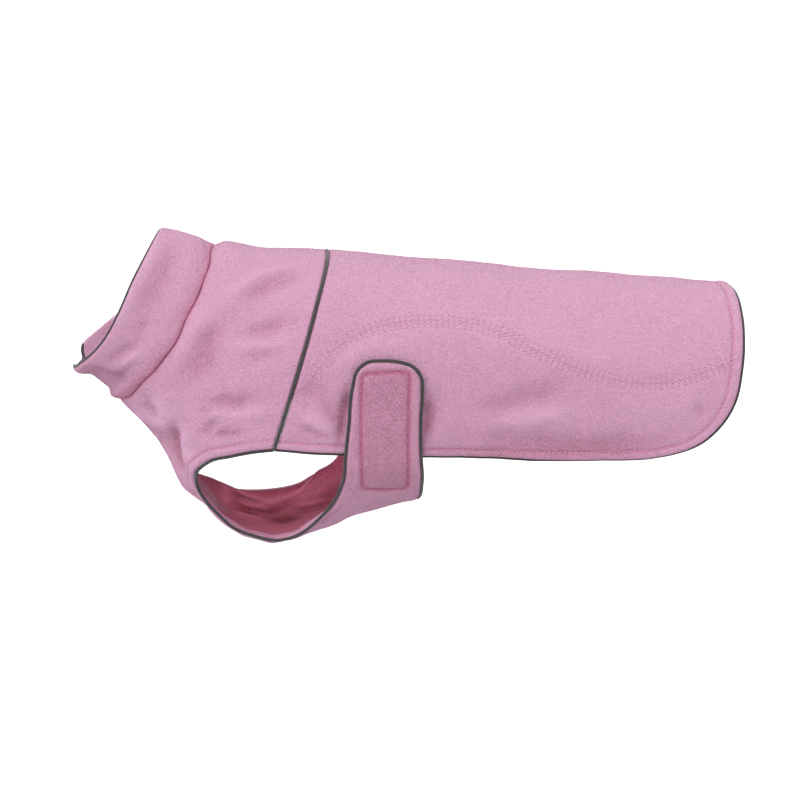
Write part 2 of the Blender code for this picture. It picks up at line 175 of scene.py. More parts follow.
LINING_FOLDS = [Fold(depth, width, np.array(run, float)) for depth, width, *run in (
    # inside the chest, where the armholes show it: streaks of painted shade and painted highlight,
    # with a little depth
    (0.7, 6.0, (-25, 207), (-20, 214), (-16, 222)),
    (-2.4, 3.0, (-13, 209), (-11, 221), (-10, 233)),
    (1.2, 2.4, (-9, 213), (-5, 217), (-1, 221)),
    (-3.6, 3.0, (38, 195), (31, 202), (25, 207), (19, 209), (13, 212), (9, 218), (5, 223),
     (-2, 222)),
    (-2.6, 3.6, (20, 217), (27, 212), (34, 205)),
    (-3.8, 6.0, (44, 170), (40, 184), (36, 195), (29, 203)),
    (-2.0, 2.2, (-14, 211), (-6, 213), (2, 214), (9, 212)),
    (1.6, 1.5, (-2, 217), (3, 221), (7, 222)),
    (1.8, 1.8, (-6, 226), (-1, 229), (4.5, 230.5), (9, 231), (12, 226), (16, 223)),
    (1.7, 1.7, (-4, 233), (2, 235.5), (7, 236.5)),
    (-1.8, 1.8, (-3, 225.5), (3, 226.5), (8, 226)),
    (-2.0, 3.0, (-6, 238), (4, 242), (8, 247)),
    (-1.6, 2.2, (20, 222), (28, 221), (36, 216)),
    (1.4, 1.5, (20, 226), (27, 226.5), (37, 222)),
    (1.1, 1.4, (22, 231), (29, 231), (37, 227)),
    (3.8, 5.5, (9, 243), (16, 240), (23, 234)),
    (1.4, 4.0, (39, 209), (37, 216), (33, 223)),
)]


def through(keys, values, at):
    """A smooth curve through rows of values, read at any place along the keys."""
    keys = np.asarray(keys, float)
    values = np.asarray(values, float)
    at = np.clip(at, keys[0], keys[-1])
    slopes = np.gradient(values, keys, axis=0)
    i = np.clip(np.searchsorted(keys, at) - 1, 0, len(keys) - 2)
    span = (keys[i + 1] - keys[i])[..., None]
    t = (at - keys[i])[..., None] / span
    return ((1 + 2 * t) * (1 - t) ** 2 * values[i] + t * (1 - t) ** 2 * span * slopes[i]
            + t * t * (3 - 2 * t) * values[i + 1] + t * t * (t - 1) * span * slopes[i + 1])


def ease(share):
    share = np.clip(share, 0.0, 1.0)
    return share * share * (3 - 2 * share)


def lengths_along(line):
    """How far along a line each of its points lies."""
    return np.concatenate([[0], np.cumsum(np.linalg.norm(np.diff(line, axis=0), axis=1))])


def read_off(line, lengths, at):
    """The points of a line at given lengths along it."""
    return np.stack([np.interp(at, lengths, column) for column in line.T], 1)


class WornShape:
    """The hollow shape of the worn coat, with girth measured along each section."""

    STATIONS = 365
    TURNS = 481
    SHARES = 721
    PAST = 10.0                # the shape runs on this far past its first and last sections

    def __init__(self, sections):
        rows = np.array(sections, float)
        rates = np.diff(rows, axis=0) / np.diff(rows[:, 0])[:, None]
        rows = np.vstack([rows[0] - self.PAST * rates[0], rows, rows[-1] + self.PAST * rates[-1]])
        self.keys = rows[:, 0]
        self.rows = rows[:, 1:]
        self.stations = np.linspace(self.keys[0], self.keys[-1], self.STATIONS)
        turns = np.linspace(0.0, np.pi, self.TURNS)
        grid = self.at_turn(*np.broadcast_arrays(self.stations[:, None], turns))
        steps = np.linalg.norm(np.diff(grid, axis=1), axis=2)
        walked = np.hstack([np.zeros((self.STATIONS, 1)), np.cumsum(steps, axis=1)])
        shares = np.linspace(0.0, 1.0, self.SHARES)
        self.halves = walked[:, -1]
        self.turns = np.array([np.interp(shares * row[-1], row, turns) for row in walked])

    def at_turn(self, at, turn):
        """Point of the right half of a section, turned from the back (0) to the belly (pi)."""
        row = np.moveaxis(through(self.keys, self.rows, at), -1, 0)
        back_x, back_z, belly_x, belly_z, half_width, widest, top, bottom, sweep = row
        up = np.cos(turn)
        out = np.abs(np.sin(turn))
        power = 2 / np.where(up > 0, top, bottom)
        rise = np.sign(up) * np.abs(up) ** power * np.where(up > 0, widest, 1 - widest)
        down_x = belly_x - back_x
        down_z = belly_z - back_z
        lean = sweep * out ** 2 / np.hypot(down_x, down_z)
        x = back_x + down_x * (widest - rise) - down_z * lean
        z = back_z + down_z * (widest - rise) + down_x * lean
        return np.stack([x, half_width * out ** power, z], -1)

    def half_girth(self, at):
        return np.interp(at, self.stations, self.halves)

    def point(self, at, girth):
        """Points of the shape at arrays of (at, signed girth)."""
        at = np.asarray(at, float)
        girth = np.asarray(girth, float)
        row = (at - self.stations[0]) / (self.stations[1] - self.stations[0])
        row = np.clip(row, 0, self.STATIONS - 1.001)
        share = np.abs(girth) / self.half_girth(at) * (self.SHARES - 1)
        share = np.clip(share, 0, self.SHARES - 1.001)
        i = row.astype(int)
        j = share.astype(int)
        u = row - i
        v = share - j
        before = self.turns[i, j] * (1 - u) + self.turns[i + 1, j] * u
        after = self.turns[i, j + 1] * (1 - u) + self.turns[i + 1, j + 1] * u
        found = self.at_turn(at, before * (1 - v) + after * v)
        found[:, 1] *= np.where(girth < 0, -1, 1)
        return found

    def axes(self, at, girth):
        """The two directions of the cloth and its outward normal."""
        reach = 0.5
        most = self.half_girth(at)
        along = self.point(at + reach, girth) - self.point(at - reach, girth)
        around = (self.point(at, np.minimum(girth + reach, most))
                  - self.point(at, np.maximum(girth - reach, -most)))
        normal = np.cross(along, around)
        return [v / np.linalg.norm(v, axis=1)[:, None] for v in (along, around, normal)]


SHAPE = WornShape(SECTIONS)


def ripple(points, wavelength, seed):
    """Smooth uneven waves of about one wavelength, from -1 to 1 and the same each time."""
    count = 24
    chance = np.random.default_rng(seed)
    turns = chance.normal(size=(count, 3))
    turns /= np.linalg.norm(turns, axis=1)[:, None]
    waves = turns * 2 * np.pi / (wavelength * chance.uniform(0.75, 1.4, (count, 1)))
    phases = chance.uniform(0, 2 * np.pi, count)
    return np.cos(points @ waves.T + phases).sum(axis=1) * np.sqrt(2 / count) / 2


def rumpled(points, rumple):
    return rumple.height * ripple(points, rumple.wavelength, rumple.seed)


def fold_depths(folds, places):
    """How far folds press the cloth in, and the shade painted in them (a highlight on ridges),
    fading towards both their ends.
    """
    wide, narrow = FOLD_SHADE
    drop = np.zeros(len(places))
    shade = np.zeros(len(places))
    for fold in folds:
        steps = np.diff(fold.run, axis=0)
        walked = lengths_along(fold.run)
        least = np.full(len(places), np.inf)
        share = np.zeros(len(places))
        for start, step, before in zip(fold.run, steps, walked):
            part = np.clip((places - start) @ step / (step @ step), 0, 1)
            far = np.linalg.norm(places - start - part[:, None] * step, axis=1)
            nearer = far < least
            least[nearer] = far[nearer]
            share[nearer] = (before + part * np.linalg.norm(step))[nearer] / walked[-1]
        fade = (FOLD_END
                + (1 - FOLD_END) * ease(share / FOLD_FADE) * ease((1 - share) / FOLD_FADE))
        dent = fold.depth * fade * np.exp(-(least / fold.width) ** 2)
        drop += dent
        shade += (wide + narrow / fold.width) * dent
    return drop, shade


def body_folds(places):
    """The folds of both sides: those of the right side fall a little apart from the left's."""
    left = ease((8 - places[:, 1]) / 16)
    points = SHAPE.point(*places.T)
    strays = np.stack([ripple(points, STRAY_WAVES, seed) for seed in (31, 32)], 1)
    spots = np.stack([places[:, 0], np.abs(places[:, 1])], 1) + FOLD_STRAY * strays
    apart = spots + RIGHT_APART * np.stack([np.sin(spots[:, 1] / 19), np.sin(spots[:, 0] / 23)], 1)
    near = fold_depths(FOLDS, spots)
    far = fold_depths(FOLDS, apart)
    return [left * a + (1 - left) * b for a, b in zip(near, far)]


def settled(places):
    """How far the cloth has settled along the back."""
    by = through([row.at for row in TOP], [[row.by] for row in TOP], places[:, 0])[:, 0]
    start, end = TOP_REACH
    return by * ease((end - np.abs(places[:, 1])) / (end - start))


def body_lift(places):
    """How far the middle of the body's cloth lies off the shape."""
    points = SHAPE.point(*places.T)
    wide, fine = BODY_RUMPLES
    on_yoke = ease((YOKE_SEAM + 4 - places[:, 0]) / 10)
    return (rumpled(points, wide) + (1 + on_yoke) * rumpled(points, fine)
            - body_folds(places)[0] - settled(places))


def smooth(places, step):
    """A smooth line through a few places, in even steps of about the given length."""
    places = np.array(places, float)
    walked = lengths_along(places)
    count = max(2, int(round(walked[-1] / step)) + 1)
    return through(walked, places, np.linspace(0, walked[-1], count))


def mirrored(line):
    return line[::-1] * (1, -1)


def moved_in(line, distance, closed=False):
    """The line moved over the cloth to the left of its run, by a real distance."""
    if closed:
        run = np.roll(line, -1, axis=0) - np.roll(line, 1, axis=0)
    else:
        run = np.gradient(line, axis=0)
    along, around, normal = SHAPE.axes(*line.T)
    aside = np.cross(normal, along * run[:, :1] + around * run[:, 1:])
    aside *= (distance / np.linalg.norm(aside, axis=1))[:, None]
    reach = 0.5
    grow = (SHAPE.point(line[:, 0] + reach, line[:, 1])
            - SHAPE.point(line[:, 0] - reach, line[:, 1])) / (2 * reach)
    grown = (grow * grow).sum(axis=1)
    both = (grow * around).sum(axis=1)
    by_at = (aside * grow).sum(axis=1)
    by_girth = (aside * around).sum(axis=1)
    room = grown - both ** 2
    return line + np.stack([(by_at - both * by_girth) / room,
                            (grown * by_girth - both * by_at) / room], 1)


def beside(points, line):
    """How far each point lies from a line of points, and how far along the line."""
    tree = kdtree.KDTree(len(line))
    for k, point in enumerate(line):
        tree.insert(point, k)
    tree.balance()
    walked = lengths_along(line)
    nearest = np.array([tree.find(point)[1] for point in points])
    least = np.full(len(points), np.inf)
    along = np.zeros(len(points))
    for step in (-1, 0):
        k = np.clip(nearest + step, 0, len(line) - 2)
        run = line[k + 1] - line[k]
        share = np.clip(((points - line[k]) * run).sum(axis=1) / (run * run).sum(axis=1), 0, 1)
        far = np.linalg.norm(points - line[k] - share[:, None] * run, axis=1)
        nearer = far < least
        least[nearer] = far[nearer]
        along[nearer] = (walked[k] + share * np.linalg.norm(run, axis=1))[nearer]
    return least, along


def away(points, line):
    return beside(points, line)[0]


def crossing(line, other):
    """The first step of a line that crosses another line, and the place where it does."""
    start = line[:-1, None]
    run = np.diff(line, axis=0)[:, None]
    other_run = -np.diff(other, axis=0)[None]
    gap = other[None, :-1] - start
    area = run[..., 0] * other_run[..., 1] - run[..., 1] * other_run[..., 0]
    area = np.where(np.abs(area) < 1e-9, np.inf, area)
    along = (gap[..., 0] * other_run[..., 1] - gap[..., 1] * other_run[..., 0]) / area
    across = (run[..., 0] * gap[..., 1] - run[..., 1] * gap[..., 0]) / area
    met = (along >= 0) & (along <= 1) & (across >= 0) & (across <= 1) & (area != np.inf)
    step = int(np.argmax(met.any(axis=1)))
    if not met[step].any():
        raise ValueError("two edges of a panel do not meet")
    place = line[step] + along[step][np.argmax(met[step])] * run[step, 0]
    return step, place


def outline(edges):
    """One closed outline, anticlockwise, from edges that cross each other in turn."""
    loop = []
    for k, edge in enumerate(edges):
        first, start = crossing(edge, edges[k - 1])
        last = crossing(edge[::-1], edges[(k + 1) % len(edges)])[0]
        loop.append(start)
        loop.extend(edge[first + 1:len(edge) - 1 - last])
    kept = [loop[0]]
    for place in loop[1:]:
        if min(np.linalg.norm(place - kept[-1]), np.linalg.norm(place - kept[0])) > 0.4:
            kept.append(place)
    return np.array(kept)


def inside(loop, places):
    """Which places lie inside a closed outline."""
    within = np.zeros(len(places), bool)
    for (x0, y0), (x1, y1) in zip(loop, np.roll(loop, -1, axis=0)):
        spans = (y0 > places[:, 1]) != (y1 > places[:, 1])
        with np.errstate(divide="ignore", invalid="ignore"):
            cut = x0 + (places[:, 1] - y0) * (x1 - x0) / (y1 - y0)
        within ^= spans & (places[:, 0] < cut)
    return within


def clear_of(kept, places, room):
    """Those places, in turn, that come no closer than some room to any kept before."""
    cells = {}

    def hold(place):
        cells.setdefault((int(place[0] // room), int(place[1] // room)), []).append(place)

    for place in kept:
        hold(place)
    found = []
    for place in places:
        column = int(place[0] // room)
        row = int(place[1] // room)
        near = [p for i in (-1, 0, 1) for j in (-1, 0, 1)
                for p in cells.get((column + i, row + j), ())]
        if all((p[0] - place[0]) ** 2 + (p[1] - place[1]) ** 2 > room * room for p in near):
            hold(place)
            found.append(place)
    return np.array(found).reshape(-1, 2)


def filled(loop, rows, step):
    """Places and triangles of a panel: finer along its edge and its rows of stitching."""
    fine = []
    edge = SHAPE.point(*np.vstack([loop, loop[:1]]).T)
    for distance in EDGE_ROWS:
        ring = moved_in(loop, distance, closed=True)
        fine.append(ring[away(SHAPE.point(*ring.T), edge) > RING_TRUE * distance])
    fine = np.vstack(fine + list(rows))
    fine = clear_of(loop, fine[inside(loop, fine)], EDGE_CLEAR)
    low = loop.min(axis=0)
    high = loop.max(axis=0)
    grid = []
    for k, girth in enumerate(np.arange(low[1] + step / 2, high[1], step * CLOTH_ROWS)):
        at = np.arange(low[0] + (k % 2) * step / 2, high[0], step)
        grid.append(np.stack([at, np.full(len(at), girth)], 1))
    grid = np.vstack(grid)
    held = np.vstack([loop, fine])
    grid = clear_of(held, grid[inside(loop, grid)], CLOTH_CLEAR * step)
    places = np.vstack([held, grid])
    border = [(k, (k + 1) % len(loop)) for k in range(len(loop))]
    found = geometry.delaunay_2d_cdt(
        [tuple(p) for p in places], border, [list(range(len(loop)))], 1, 1e-5)
    places = np.array([tuple(p) for p in found[0]])
    return places, well_joined(SHAPE.point(*places.T), found[2])


def well_joined(points, faces):
    """The triangles with their shared edges turned to suit the shape in space."""
    net = bmesh.new()
    corners = [net.verts.new(point) for point in points]
    for face in faces:
        net.faces.new([corners[k] for k in face])
    net.verts.index_update()
    bmesh.ops.beautify_fill(net, faces=net.faces[:], edges=[e for e in net.edges
                                                            if not e.is_boundary])
    joined = np.array([[corner.index for corner in face.verts] for face in net.faces])
    net.free()
    return joined


def stitch_rows(line):
    """Rows of places that let the cloth dip along a line of stitching."""
    return [moved_in(line, offset) for offset in (-1.5, -0.75, 0.0, 0.75, 1.5)]


def groove(far, line):
    """A round groove, at some distance from its middle line."""
    return line.depth * np.exp(-(far / line.width) ** 2)


def cleft(far, line):
    """The sharp cleft of a seam, at some distance from it."""
    return line.depth * np.exp(-far / line.width)


def rounded(far, reach):
    """How far a round edge has fallen off, from all at its border to none at its reach."""
    return 1 - np.sqrt(1 - (1 - np.clip(far / reach, 0, 1)) ** 2)


def edge_form(points, border, stitch=None):
    """How an edge rounds off at its border, puffs, and dips at its topstitching, with painted
    shade on the rounding and along the stitching.
    """
    far = away(points, SHAPE.point(*border.T))
    rounding = rounded(far, ROUND_EDGE)
    if stitch is None:
        return -EDGE_DROP * rounding, EDGE_DROP * rounding, EDGE_SHADE * rounding
    puff = EDGE_PUFF * np.sin(np.pi * np.clip(far / stitch, 0, 1)) ** 0.8
    dip = np.exp(-((far - stitch) / STITCH_WIDTH) ** 2)
    line = np.exp(-((far - stitch) / STITCH_SHADE_WIDTH) ** 2)
    under = TURNED_UNDER * ease((stitch + UNDER_END - far) / UNDER_END)
    outer = puff - EDGE_DROP * rounding - STITCH_PRESS * dip
    inner = EDGE_DROP * rounding - under * (1 - rounding) + STITCH_PULL * dip
    return outer, inner, np.maximum(STITCH_SHADE * line, EDGE_SHADE * rounding)


def plug(made, sockets):
    """Gives values to the inputs of a node, or links them."""
    for name, value in dict(sockets).items():
        if isinstance(value, bpy.types.NodeSocket):
            made.id_data.links.new(value, made.inputs[name])
        else:
            made.inputs[name].default_value = value


def node(tree, kind, sockets=(), **settings):
    """Adds a node with its settings and its inputs."""
    made = tree.nodes.new(kind)
    for name, value in settings.items():
        setattr(made, name, value)
    plug(made, sockets)
    return made


def maths(tree, operation, *values, **settings):
    return node(tree, "ShaderNodeMath", enumerate(values), operation=operation,
                **settings).outputs[0]


def mixed_colour(tree, share, first, second, **settings):
    return node(tree, "ShaderNodeMix", {"Factor": share, 6: first, 7: second},
                data_type="RGBA", **settings).outputs[2]


def new_material(name):
    """A new material, its node tree and its shader."""
    made = bpy.data.materials.new(name)
    made.use_nodes = True
    return made, made.node_tree, made.node_tree.nodes["Principled BSDF"]


def group_of(name, kind, inputs, outputs):
    """An empty node group with named inputs and outputs, and its two end nodes."""
    tree = bpy.data.node_groups.new(name, kind)
    for label, socket, value in inputs:
        made = tree.interface.new_socket(label, in_out="INPUT", socket_type=socket)
        if value is not None:
            made.default_value = value
    for label, socket in outputs:
        tree.interface.new_socket(label, in_out="OUTPUT", socket_type=socket)
    return tree, tree.nodes.new("NodeGroupInput").outputs, tree.nodes.new("NodeGroupOutput")


def brushed_nap():
    """Shader group: the clumped, uneven nap of brushed fleece, as a colour and a height, with
    painted shade and glow laid into the colour.
    """
    tree, given, output = group_of(
        "brushed nap", "ShaderNodeTree",
        [("Colour", "NodeSocketColor", (0.7, 0.4, 0.55, 1)),
         # The second colour paints shade in creases, seams and needle holes; the third paints a
         # glow of deeper pink on the inner face, for light that shines through and bounces inside;
         # the shade tint paints shade, and a highlight where Shade is below nought.
         ("Deep colour", "NodeSocketColor", (0.5, 0.15, 0.3, 1)),
         ("Inner colour", "NodeSocketColor", (0.7, 0.2, 0.3, 1)),
         ("Shade tint", "NodeSocketColor", (0.55, 0.26, 0.31, 1)),
         ("Crease", "NodeSocketFloat", 0.0),
         ("Inside", "NodeSocketFloat", 0.0),
         ("Shade", "NodeSocketFloat", 0.0),
         ("Fibre scale", "NodeSocketFloat", 1900.0),
         ("Clump scale", "NodeSocketFloat", 900.0),
         ("Patch scale", "NodeSocketFloat", 70.0),
         ("Patch share", "NodeSocketFloat", 0.15),
         ("Contrast", "NodeSocketFloat", 0.5), ("Shade contrast", "NodeSocketFloat", 2.2)],
        [("Colour", "NodeSocketColor"), ("Height", "NodeSocketFloat")])
    place = node(tree, "ShaderNodeTexCoord").outputs["Object"]
    fibre = node(tree, "ShaderNodeTexNoise",
                 {"Vector": place, "Scale": given["Fibre scale"], "Detail": 3.0,
                  "Roughness": 0.7}).outputs["Fac"]
    clump = node(tree, "ShaderNodeTexNoise",
                 {"Vector": place, "Scale": given["Clump scale"], "Detail": 3.0,
                  "Roughness": 0.65}).outputs["Fac"]
    patch = node(tree, "ShaderNodeTexNoise",
                 {"Vector": place, "Scale": given["Patch scale"], "Detail": 3.0}).outputs["Fac"]
    mixed = maths(tree, "ADD", fibre, clump)
    height = maths(tree, "MULTIPLY", mixed, 0.5)
    uneven = maths(tree, "MULTIPLY_ADD", patch, given["Patch share"], mixed)
    middle = maths(tree, "MULTIPLY_ADD", given["Patch share"], 0.5, 1.0)
    centred = maths(tree, "SUBTRACT", uneven, middle)
    # the grain shows more where shade is painted
    rough = maths(tree, "MULTIPLY_ADD", given["Shade"], given["Shade contrast"],
                  given["Contrast"])
    speckle = maths(tree, "MULTIPLY_ADD", centred, rough, 1.0)
    # painted shade in creases, then the painted glow inside, then painted shade and highlights of
    # folds and zones
    crease_shaded = mixed_colour(tree, given["Crease"], given["Colour"], given["Deep colour"])
    with_inner_glow = mixed_colour(tree, given["Inside"], crease_shaded, given["Inner colour"])
    tint = mixed_colour(tree, given["Shade"], (1, 1, 1, 1), given["Shade tint"],
                        clamp_factor=False)
    shaded = node(tree, "ShaderNodeVectorMath", {0: with_inner_glow, 1: tint},
                  operation="MULTIPLY").outputs[0]
    spread = node(tree, "ShaderNodeVectorMath", {0: shaded, "Scale": speckle},
                  operation="SCALE").outputs[0]
    tree.links.new(spread, output.inputs["Colour"])
    tree.links.new(height, output.inputs["Height"])
    return tree


def needle_holes():
    """Shader group: where the needle rows of a side seam pit the cloth, lengths in mm; these pits
    are painted darker.
    """
    tree, given, output = group_of(
        "needle holes", "ShaderNodeTree",
        [("Stitches along", "NodeSocketFloat", 0.0),
         ("Nearness", "NodeSocketFloat", 0.0),
         ("Reach", "NodeSocketFloat", SEAM_REACH),
         ("First row", "NodeSocketFloat", NEEDLE_ROWS[0]),
         ("Second row", "NodeSocketFloat", NEEDLE_ROWS[1]),
         ("Pitch", "NodeSocketFloat", SEAM_PITCH),
         ("Hole", "NodeSocketFloat", 0.68)],
        [("Holes", "NodeSocketFloat")])
    off = maths(tree, "SUBTRACT", given["Reach"], given["Nearness"])
    to_first = maths(tree, "ABSOLUTE", maths(tree, "SUBTRACT", off, given["First row"]))
    to_second = maths(tree, "ABSOLUTE", maths(tree, "SUBTRACT", off, given["Second row"]))
    across = maths(tree, "MINIMUM", to_first, to_second)
    turn = maths(tree, "FRACT", maths(tree, "ADD", given["Stitches along"], 0.5))
    along = maths(tree, "MULTIPLY", maths(tree, "SUBTRACT", turn, 0.5), given["Pitch"])
    far = maths(tree, "SQRT", maths(tree, "ADD", maths(tree, "MULTIPLY", across, across),
                                    maths(tree, "MULTIPLY", along, along)))
    holes = node(tree, "ShaderNodeMapRange",
                 {"Value": far, "From Min": maths(tree, "MULTIPLY", given["Hole"], 0.35),
                  "From Max": given["Hole"], "To Min": 1.0, "To Max": 0.0},
                 interpolation_type="SMOOTHSTEP").outputs[0]
    tree.links.new(holes, output.inputs["Holes"])
    return tree


BRUSHED_NAP = brushed_nap()
NEEDLE_HOLES = needle_holes()


def fleece_material():
    """Matt pink polyester fleece: soft sheen, fine nap, painted shade of deeper pink where it is
    pressed in and in its folds, and a painted glow inside.
    """
    made, tree, shader = new_material("brushed fleece")

    def kept(name):
        return node(tree, "ShaderNodeAttribute", attribute_name=name).outputs["Fac"]

    holes = node(tree, "ShaderNodeGroup", node_tree=NEEDLE_HOLES)
    plug(holes, {"Stitches along": kept("seam_stitches"), "Nearness": kept("seam_nearness")})
    # needle holes are painted darker, along with the creases' painted shade
    pitted = maths(tree, "MULTIPLY_ADD", holes.outputs["Holes"], 0.74, kept("crease"),
                   use_clamp=True)
    nap = node(tree, "ShaderNodeGroup", node_tree=BRUSHED_NAP)
    plug(nap, {"Colour": (0.625, 0.33, 0.48, 1), "Deep colour": (0.54, 0.135, 0.255, 1),
               "Inner colour": (0.66, 0.155, 0.255, 1), "Crease": pitted,
               "Inside": kept("inside"), "Shade": kept("shade")})
    height = maths(tree, "MULTIPLY_ADD", holes.outputs["Holes"], -0.1, nap.outputs["Height"])
    bump = node(tree, "ShaderNodeBump", {"Strength": 1.0, "Distance": 0.0022, "Height": height})
    plug(shader, {"Base Color": nap.outputs["Colour"], "Normal": bump.outputs["Normal"],
                  "Roughness": 0.95, "Specular IOR Level": 0.2, "Sheen Weight": 0.22,
                  "Sheen Roughness": 0.4, "Sheen Tint": (0.95, 0.85, 0.92, 1)})
    return made


FLEECE = fleece_material()


def faces_of(places, outer, inner, crease, shade, turned=0.0, darker=0.0, stitches=0.0,
             nearness=0.0):
    """The two faces of a panel with the values kept on them, what folds press inside, and the
    painted shade and glow.
    """
    within, pressed = fold_depths(LINING_FOLDS, places)
    lining = ease((places[:, 0] + 100) / 40)     # paler near the rim: the painted glow inside fades where light falls in
    lining *= 1 - TURNED_PALE * turned
    shades = (np.clip(shade, *OUTER_SHADES),
              np.clip(darker + LINING_SHADE * pressed, *LINING_SHADES))
    return Faces(outer, inner + LINING_PRESS * np.clip(within, -1, 2), crease, shades, lining,
                 stitches + np.zeros(len(places)), nearness + np.zeros(len(places)))


def cut_panel(name, loop, rows, surface):
    """One cut piece of fleece: an outer and an inner face, joined all round its edge."""
    places, faces = filled(loop, rows, CLOTH_STEP)
    points = SHAPE.point(*places.T)
    normal = SHAPE.axes(*places.T)[2]
    made = surface(places, points)
    below = faces[:, ::-1] + len(places)
    ends = np.vstack([faces[:, [0, 1]], faces[:, [1, 2]], faces[:, [2, 0]]])
    seen = {tuple(pair) for pair in ends}
    rim = [(b, a, a + len(places), b + len(places)) for a, b in ends if (b, a) not in seen]
    mesh = bpy.data.meshes.new(name)
    corners = np.vstack([points + normal * made.outer[:, None],
                         points + normal * made.inner[:, None]])
    mesh.from_pydata([tuple(p) for p in corners * MM], [],
                     [tuple(f) for f in faces] + [tuple(f) for f in below] + rim)
    none = np.zeros(len(places))
    # crease: painted shade; inside: painted glow; shade: painted shade and highlights of folds and
    # zones
    for label, values in (
            ("crease", (np.clip(made.crease, 0, 1), 0.5 * np.clip(made.crease, 0, 1))),
            ("inside", (none, made.lining)), ("shade", made.shade),
            ("seam_stitches", (made.stitches, none)), ("seam_nearness", (made.nearness, none))):
        kept = mesh.attributes.new(label, "FLOAT", "POINT")
        kept.data.foreach_set("value", np.concatenate(values).astype(np.float32))
    mesh.shade_smooth()
    mesh.materials.append(FLEECE)
    panel = bpy.data.objects.new(name, mesh)
    bpy.context.scene.collection.objects.link(panel)
    return panel


def extended(line, length):
    """The line run on straight past both ends."""
    ends = []
    for end, before in ((line[0], line[1]), (line[-1], line[-2])):
        ends.append(end + (end - before) / np.linalg.norm(end - before) * length)
    return np.vstack([ends[0], line, ends[1]])


def round_body(at, start, end):
    """A line round the body at one place along the back."""
    girth = np.linspace(start, end, int(abs(end - start) / LINE_STEP) + 1)
    return np.stack([np.full(len(girth), at), girth], 1)


def on_shape(line):
    return SHAPE.point(*line.T)


def sewn_part(seam):
    """The part of a side seam that is flat-locked, from the yoke to the tail's topstitching."""
    return seam[(seam[:, 0] > SEAM_CLEAR) & (seam[:, 0] < TAIL - HEM_STITCH[1])]


def whole_stitches(line, pitch):
    """How many stitches of about one pitch a line holds, and the length of one."""
    length = np.linalg.norm(np.diff(on_shape(line), axis=0), axis=1).sum()
    count = max(1, int(round(length / pitch)))
    return count, length / count


def side_seam_form(points, seam):
    """How a flat-locked seam lies lower than the cloth, and where its stitches pit it."""
    part = sewn_part(seam)
    far, along = beside(points, on_shape(part))
    low = ease((NEEDLE_ROWS[-1] + SEAM_SLOPE - far) / SEAM_SLOPE)
    grooves = sum(np.exp(-((far - row) / NEEDLE_WIDTH) ** 2) for row in NEEDLE_ROWS)
    count, length = whole_stitches(part, SEAM_PITCH)
    stitches = along / length
    within = (stitches > 0.05) & (stitches < count - 0.05)
    sink, row_sink = SEAM_SINK
    return (-sink * low - row_sink * grooves, stitches,
            within * np.clip(SEAM_REACH - far, 0, None))


YOKE_LINE = round_body(YOKE_SEAM, -160.0, 160.0)
BACK_EDGE = moved_in(YOKE_LINE[::-1], SNUG)
SEAM_RIGHT = smooth(SIDE_SEAM, LINE_STEP)
SEAM_LEFT = mirrored(SEAM_RIGHT)
HEM = [Place(*row) for row in (
    (0, 145.5), (15, 144.7), (45, 144.3), (72, 143.3), (100, 140.4), (128, 138.4), (155, 135.2),
    (188, 130.8), (204, 126), (218, 119), (231, 105.5), (237.7, 92), (241.5, 73), (243.9, 50),
    (244.8, 25), (244.8, 0))]
HEM_RIGHT = smooth(HEM, LINE_STEP)
HEM_LINE = np.vstack([HEM_RIGHT, mirrored(HEM_RIGHT)[1:]])
CORD_SHOWING = ease((HEM_LINE[:, 0] - 195) / 35) + ease((150 - HEM_LINE[:, 0]) / 40)
HEM_BORDER = moved_in(HEM_LINE, -TUCKED - CORD_SHOWS * CORD_SHOWING)[::-1]


def hem_stitch(places):
    """How far the topstitching lies inside the hem: more at the tail."""
    at_hem, at_tail = HEM_STITCH
    return at_hem + (at_tail - at_hem) * ease((places[:, 0] - 205) / 30)


def body_surface(places, points):
    """The back and side panels off the shape."""
    middle = body_lift(places)
    outer = middle + WALL / 2
    inner = middle - WALL / 2
    crease = np.zeros(len(places))
    shade = body_folds(places)[1]
    for border, stitch in ((BACK_EDGE, None), (HEM_BORDER, hem_stitch(places))):
        up, down, pressed = edge_form(points, border, stitch)
        outer += up
        inner += down
        crease = np.maximum(crease, pressed)
    stitches = np.zeros(len(places))
    nearness = np.zeros(len(places))
    for seam in (SEAM_RIGHT, SEAM_LEFT):
        low, along, near = side_seam_form(points, seam)
        outer += low
        stitches = np.where(near > nearness, along, stitches)
        nearness = np.maximum(near, nearness)
    return faces_of(places, outer, inner, crease, shade,
                    stitches=stitches, nearness=nearness)


HEM_TOPSTITCH = moved_in(HEM_BORDER, hem_stitch(HEM_BORDER))
SEAM_ROWS = [moved_in(seam, side * (row + offset)) for seam in (SEAM_RIGHT, SEAM_LEFT)
             for side in (1, -1) for row in NEEDLE_ROWS for offset in (-0.6, 0, 0.6)]
back_seam = extended(moved_in(SEAM_RIGHT[::-1], SIDE_GAP), 5)
back = cut_panel("back_panel", outline([
    mirrored(back_seam),
    HEM_BORDER,
    back_seam,
    BACK_EDGE,
]), stitch_rows(HEM_TOPSTITCH) + SEAM_ROWS, body_surface)
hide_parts("back")
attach(back, "root")

# Side panels: one on each side, cut between the curved side seam and the hem, and shaped to
# the armhole and the round tail corner. The same fleece, its hem turned in and topstitched.
right_edges = [
    extended(moved_in(SEAM_RIGHT, SIDE_GAP), 5),
    HEM_BORDER,
    BACK_EDGE,
]
left_edges = [mirrored(edge) for edge in reversed(right_edges)]
for side, edges in (("left", left_edges), ("right", right_edges)):
    panel = cut_panel("side_panel_" + side, outline(edges),
                      stitch_rows(HEM_TOPSTITCH) + SEAM_ROWS, body_surface)
    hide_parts("side_" + side)
    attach(panel, "root")

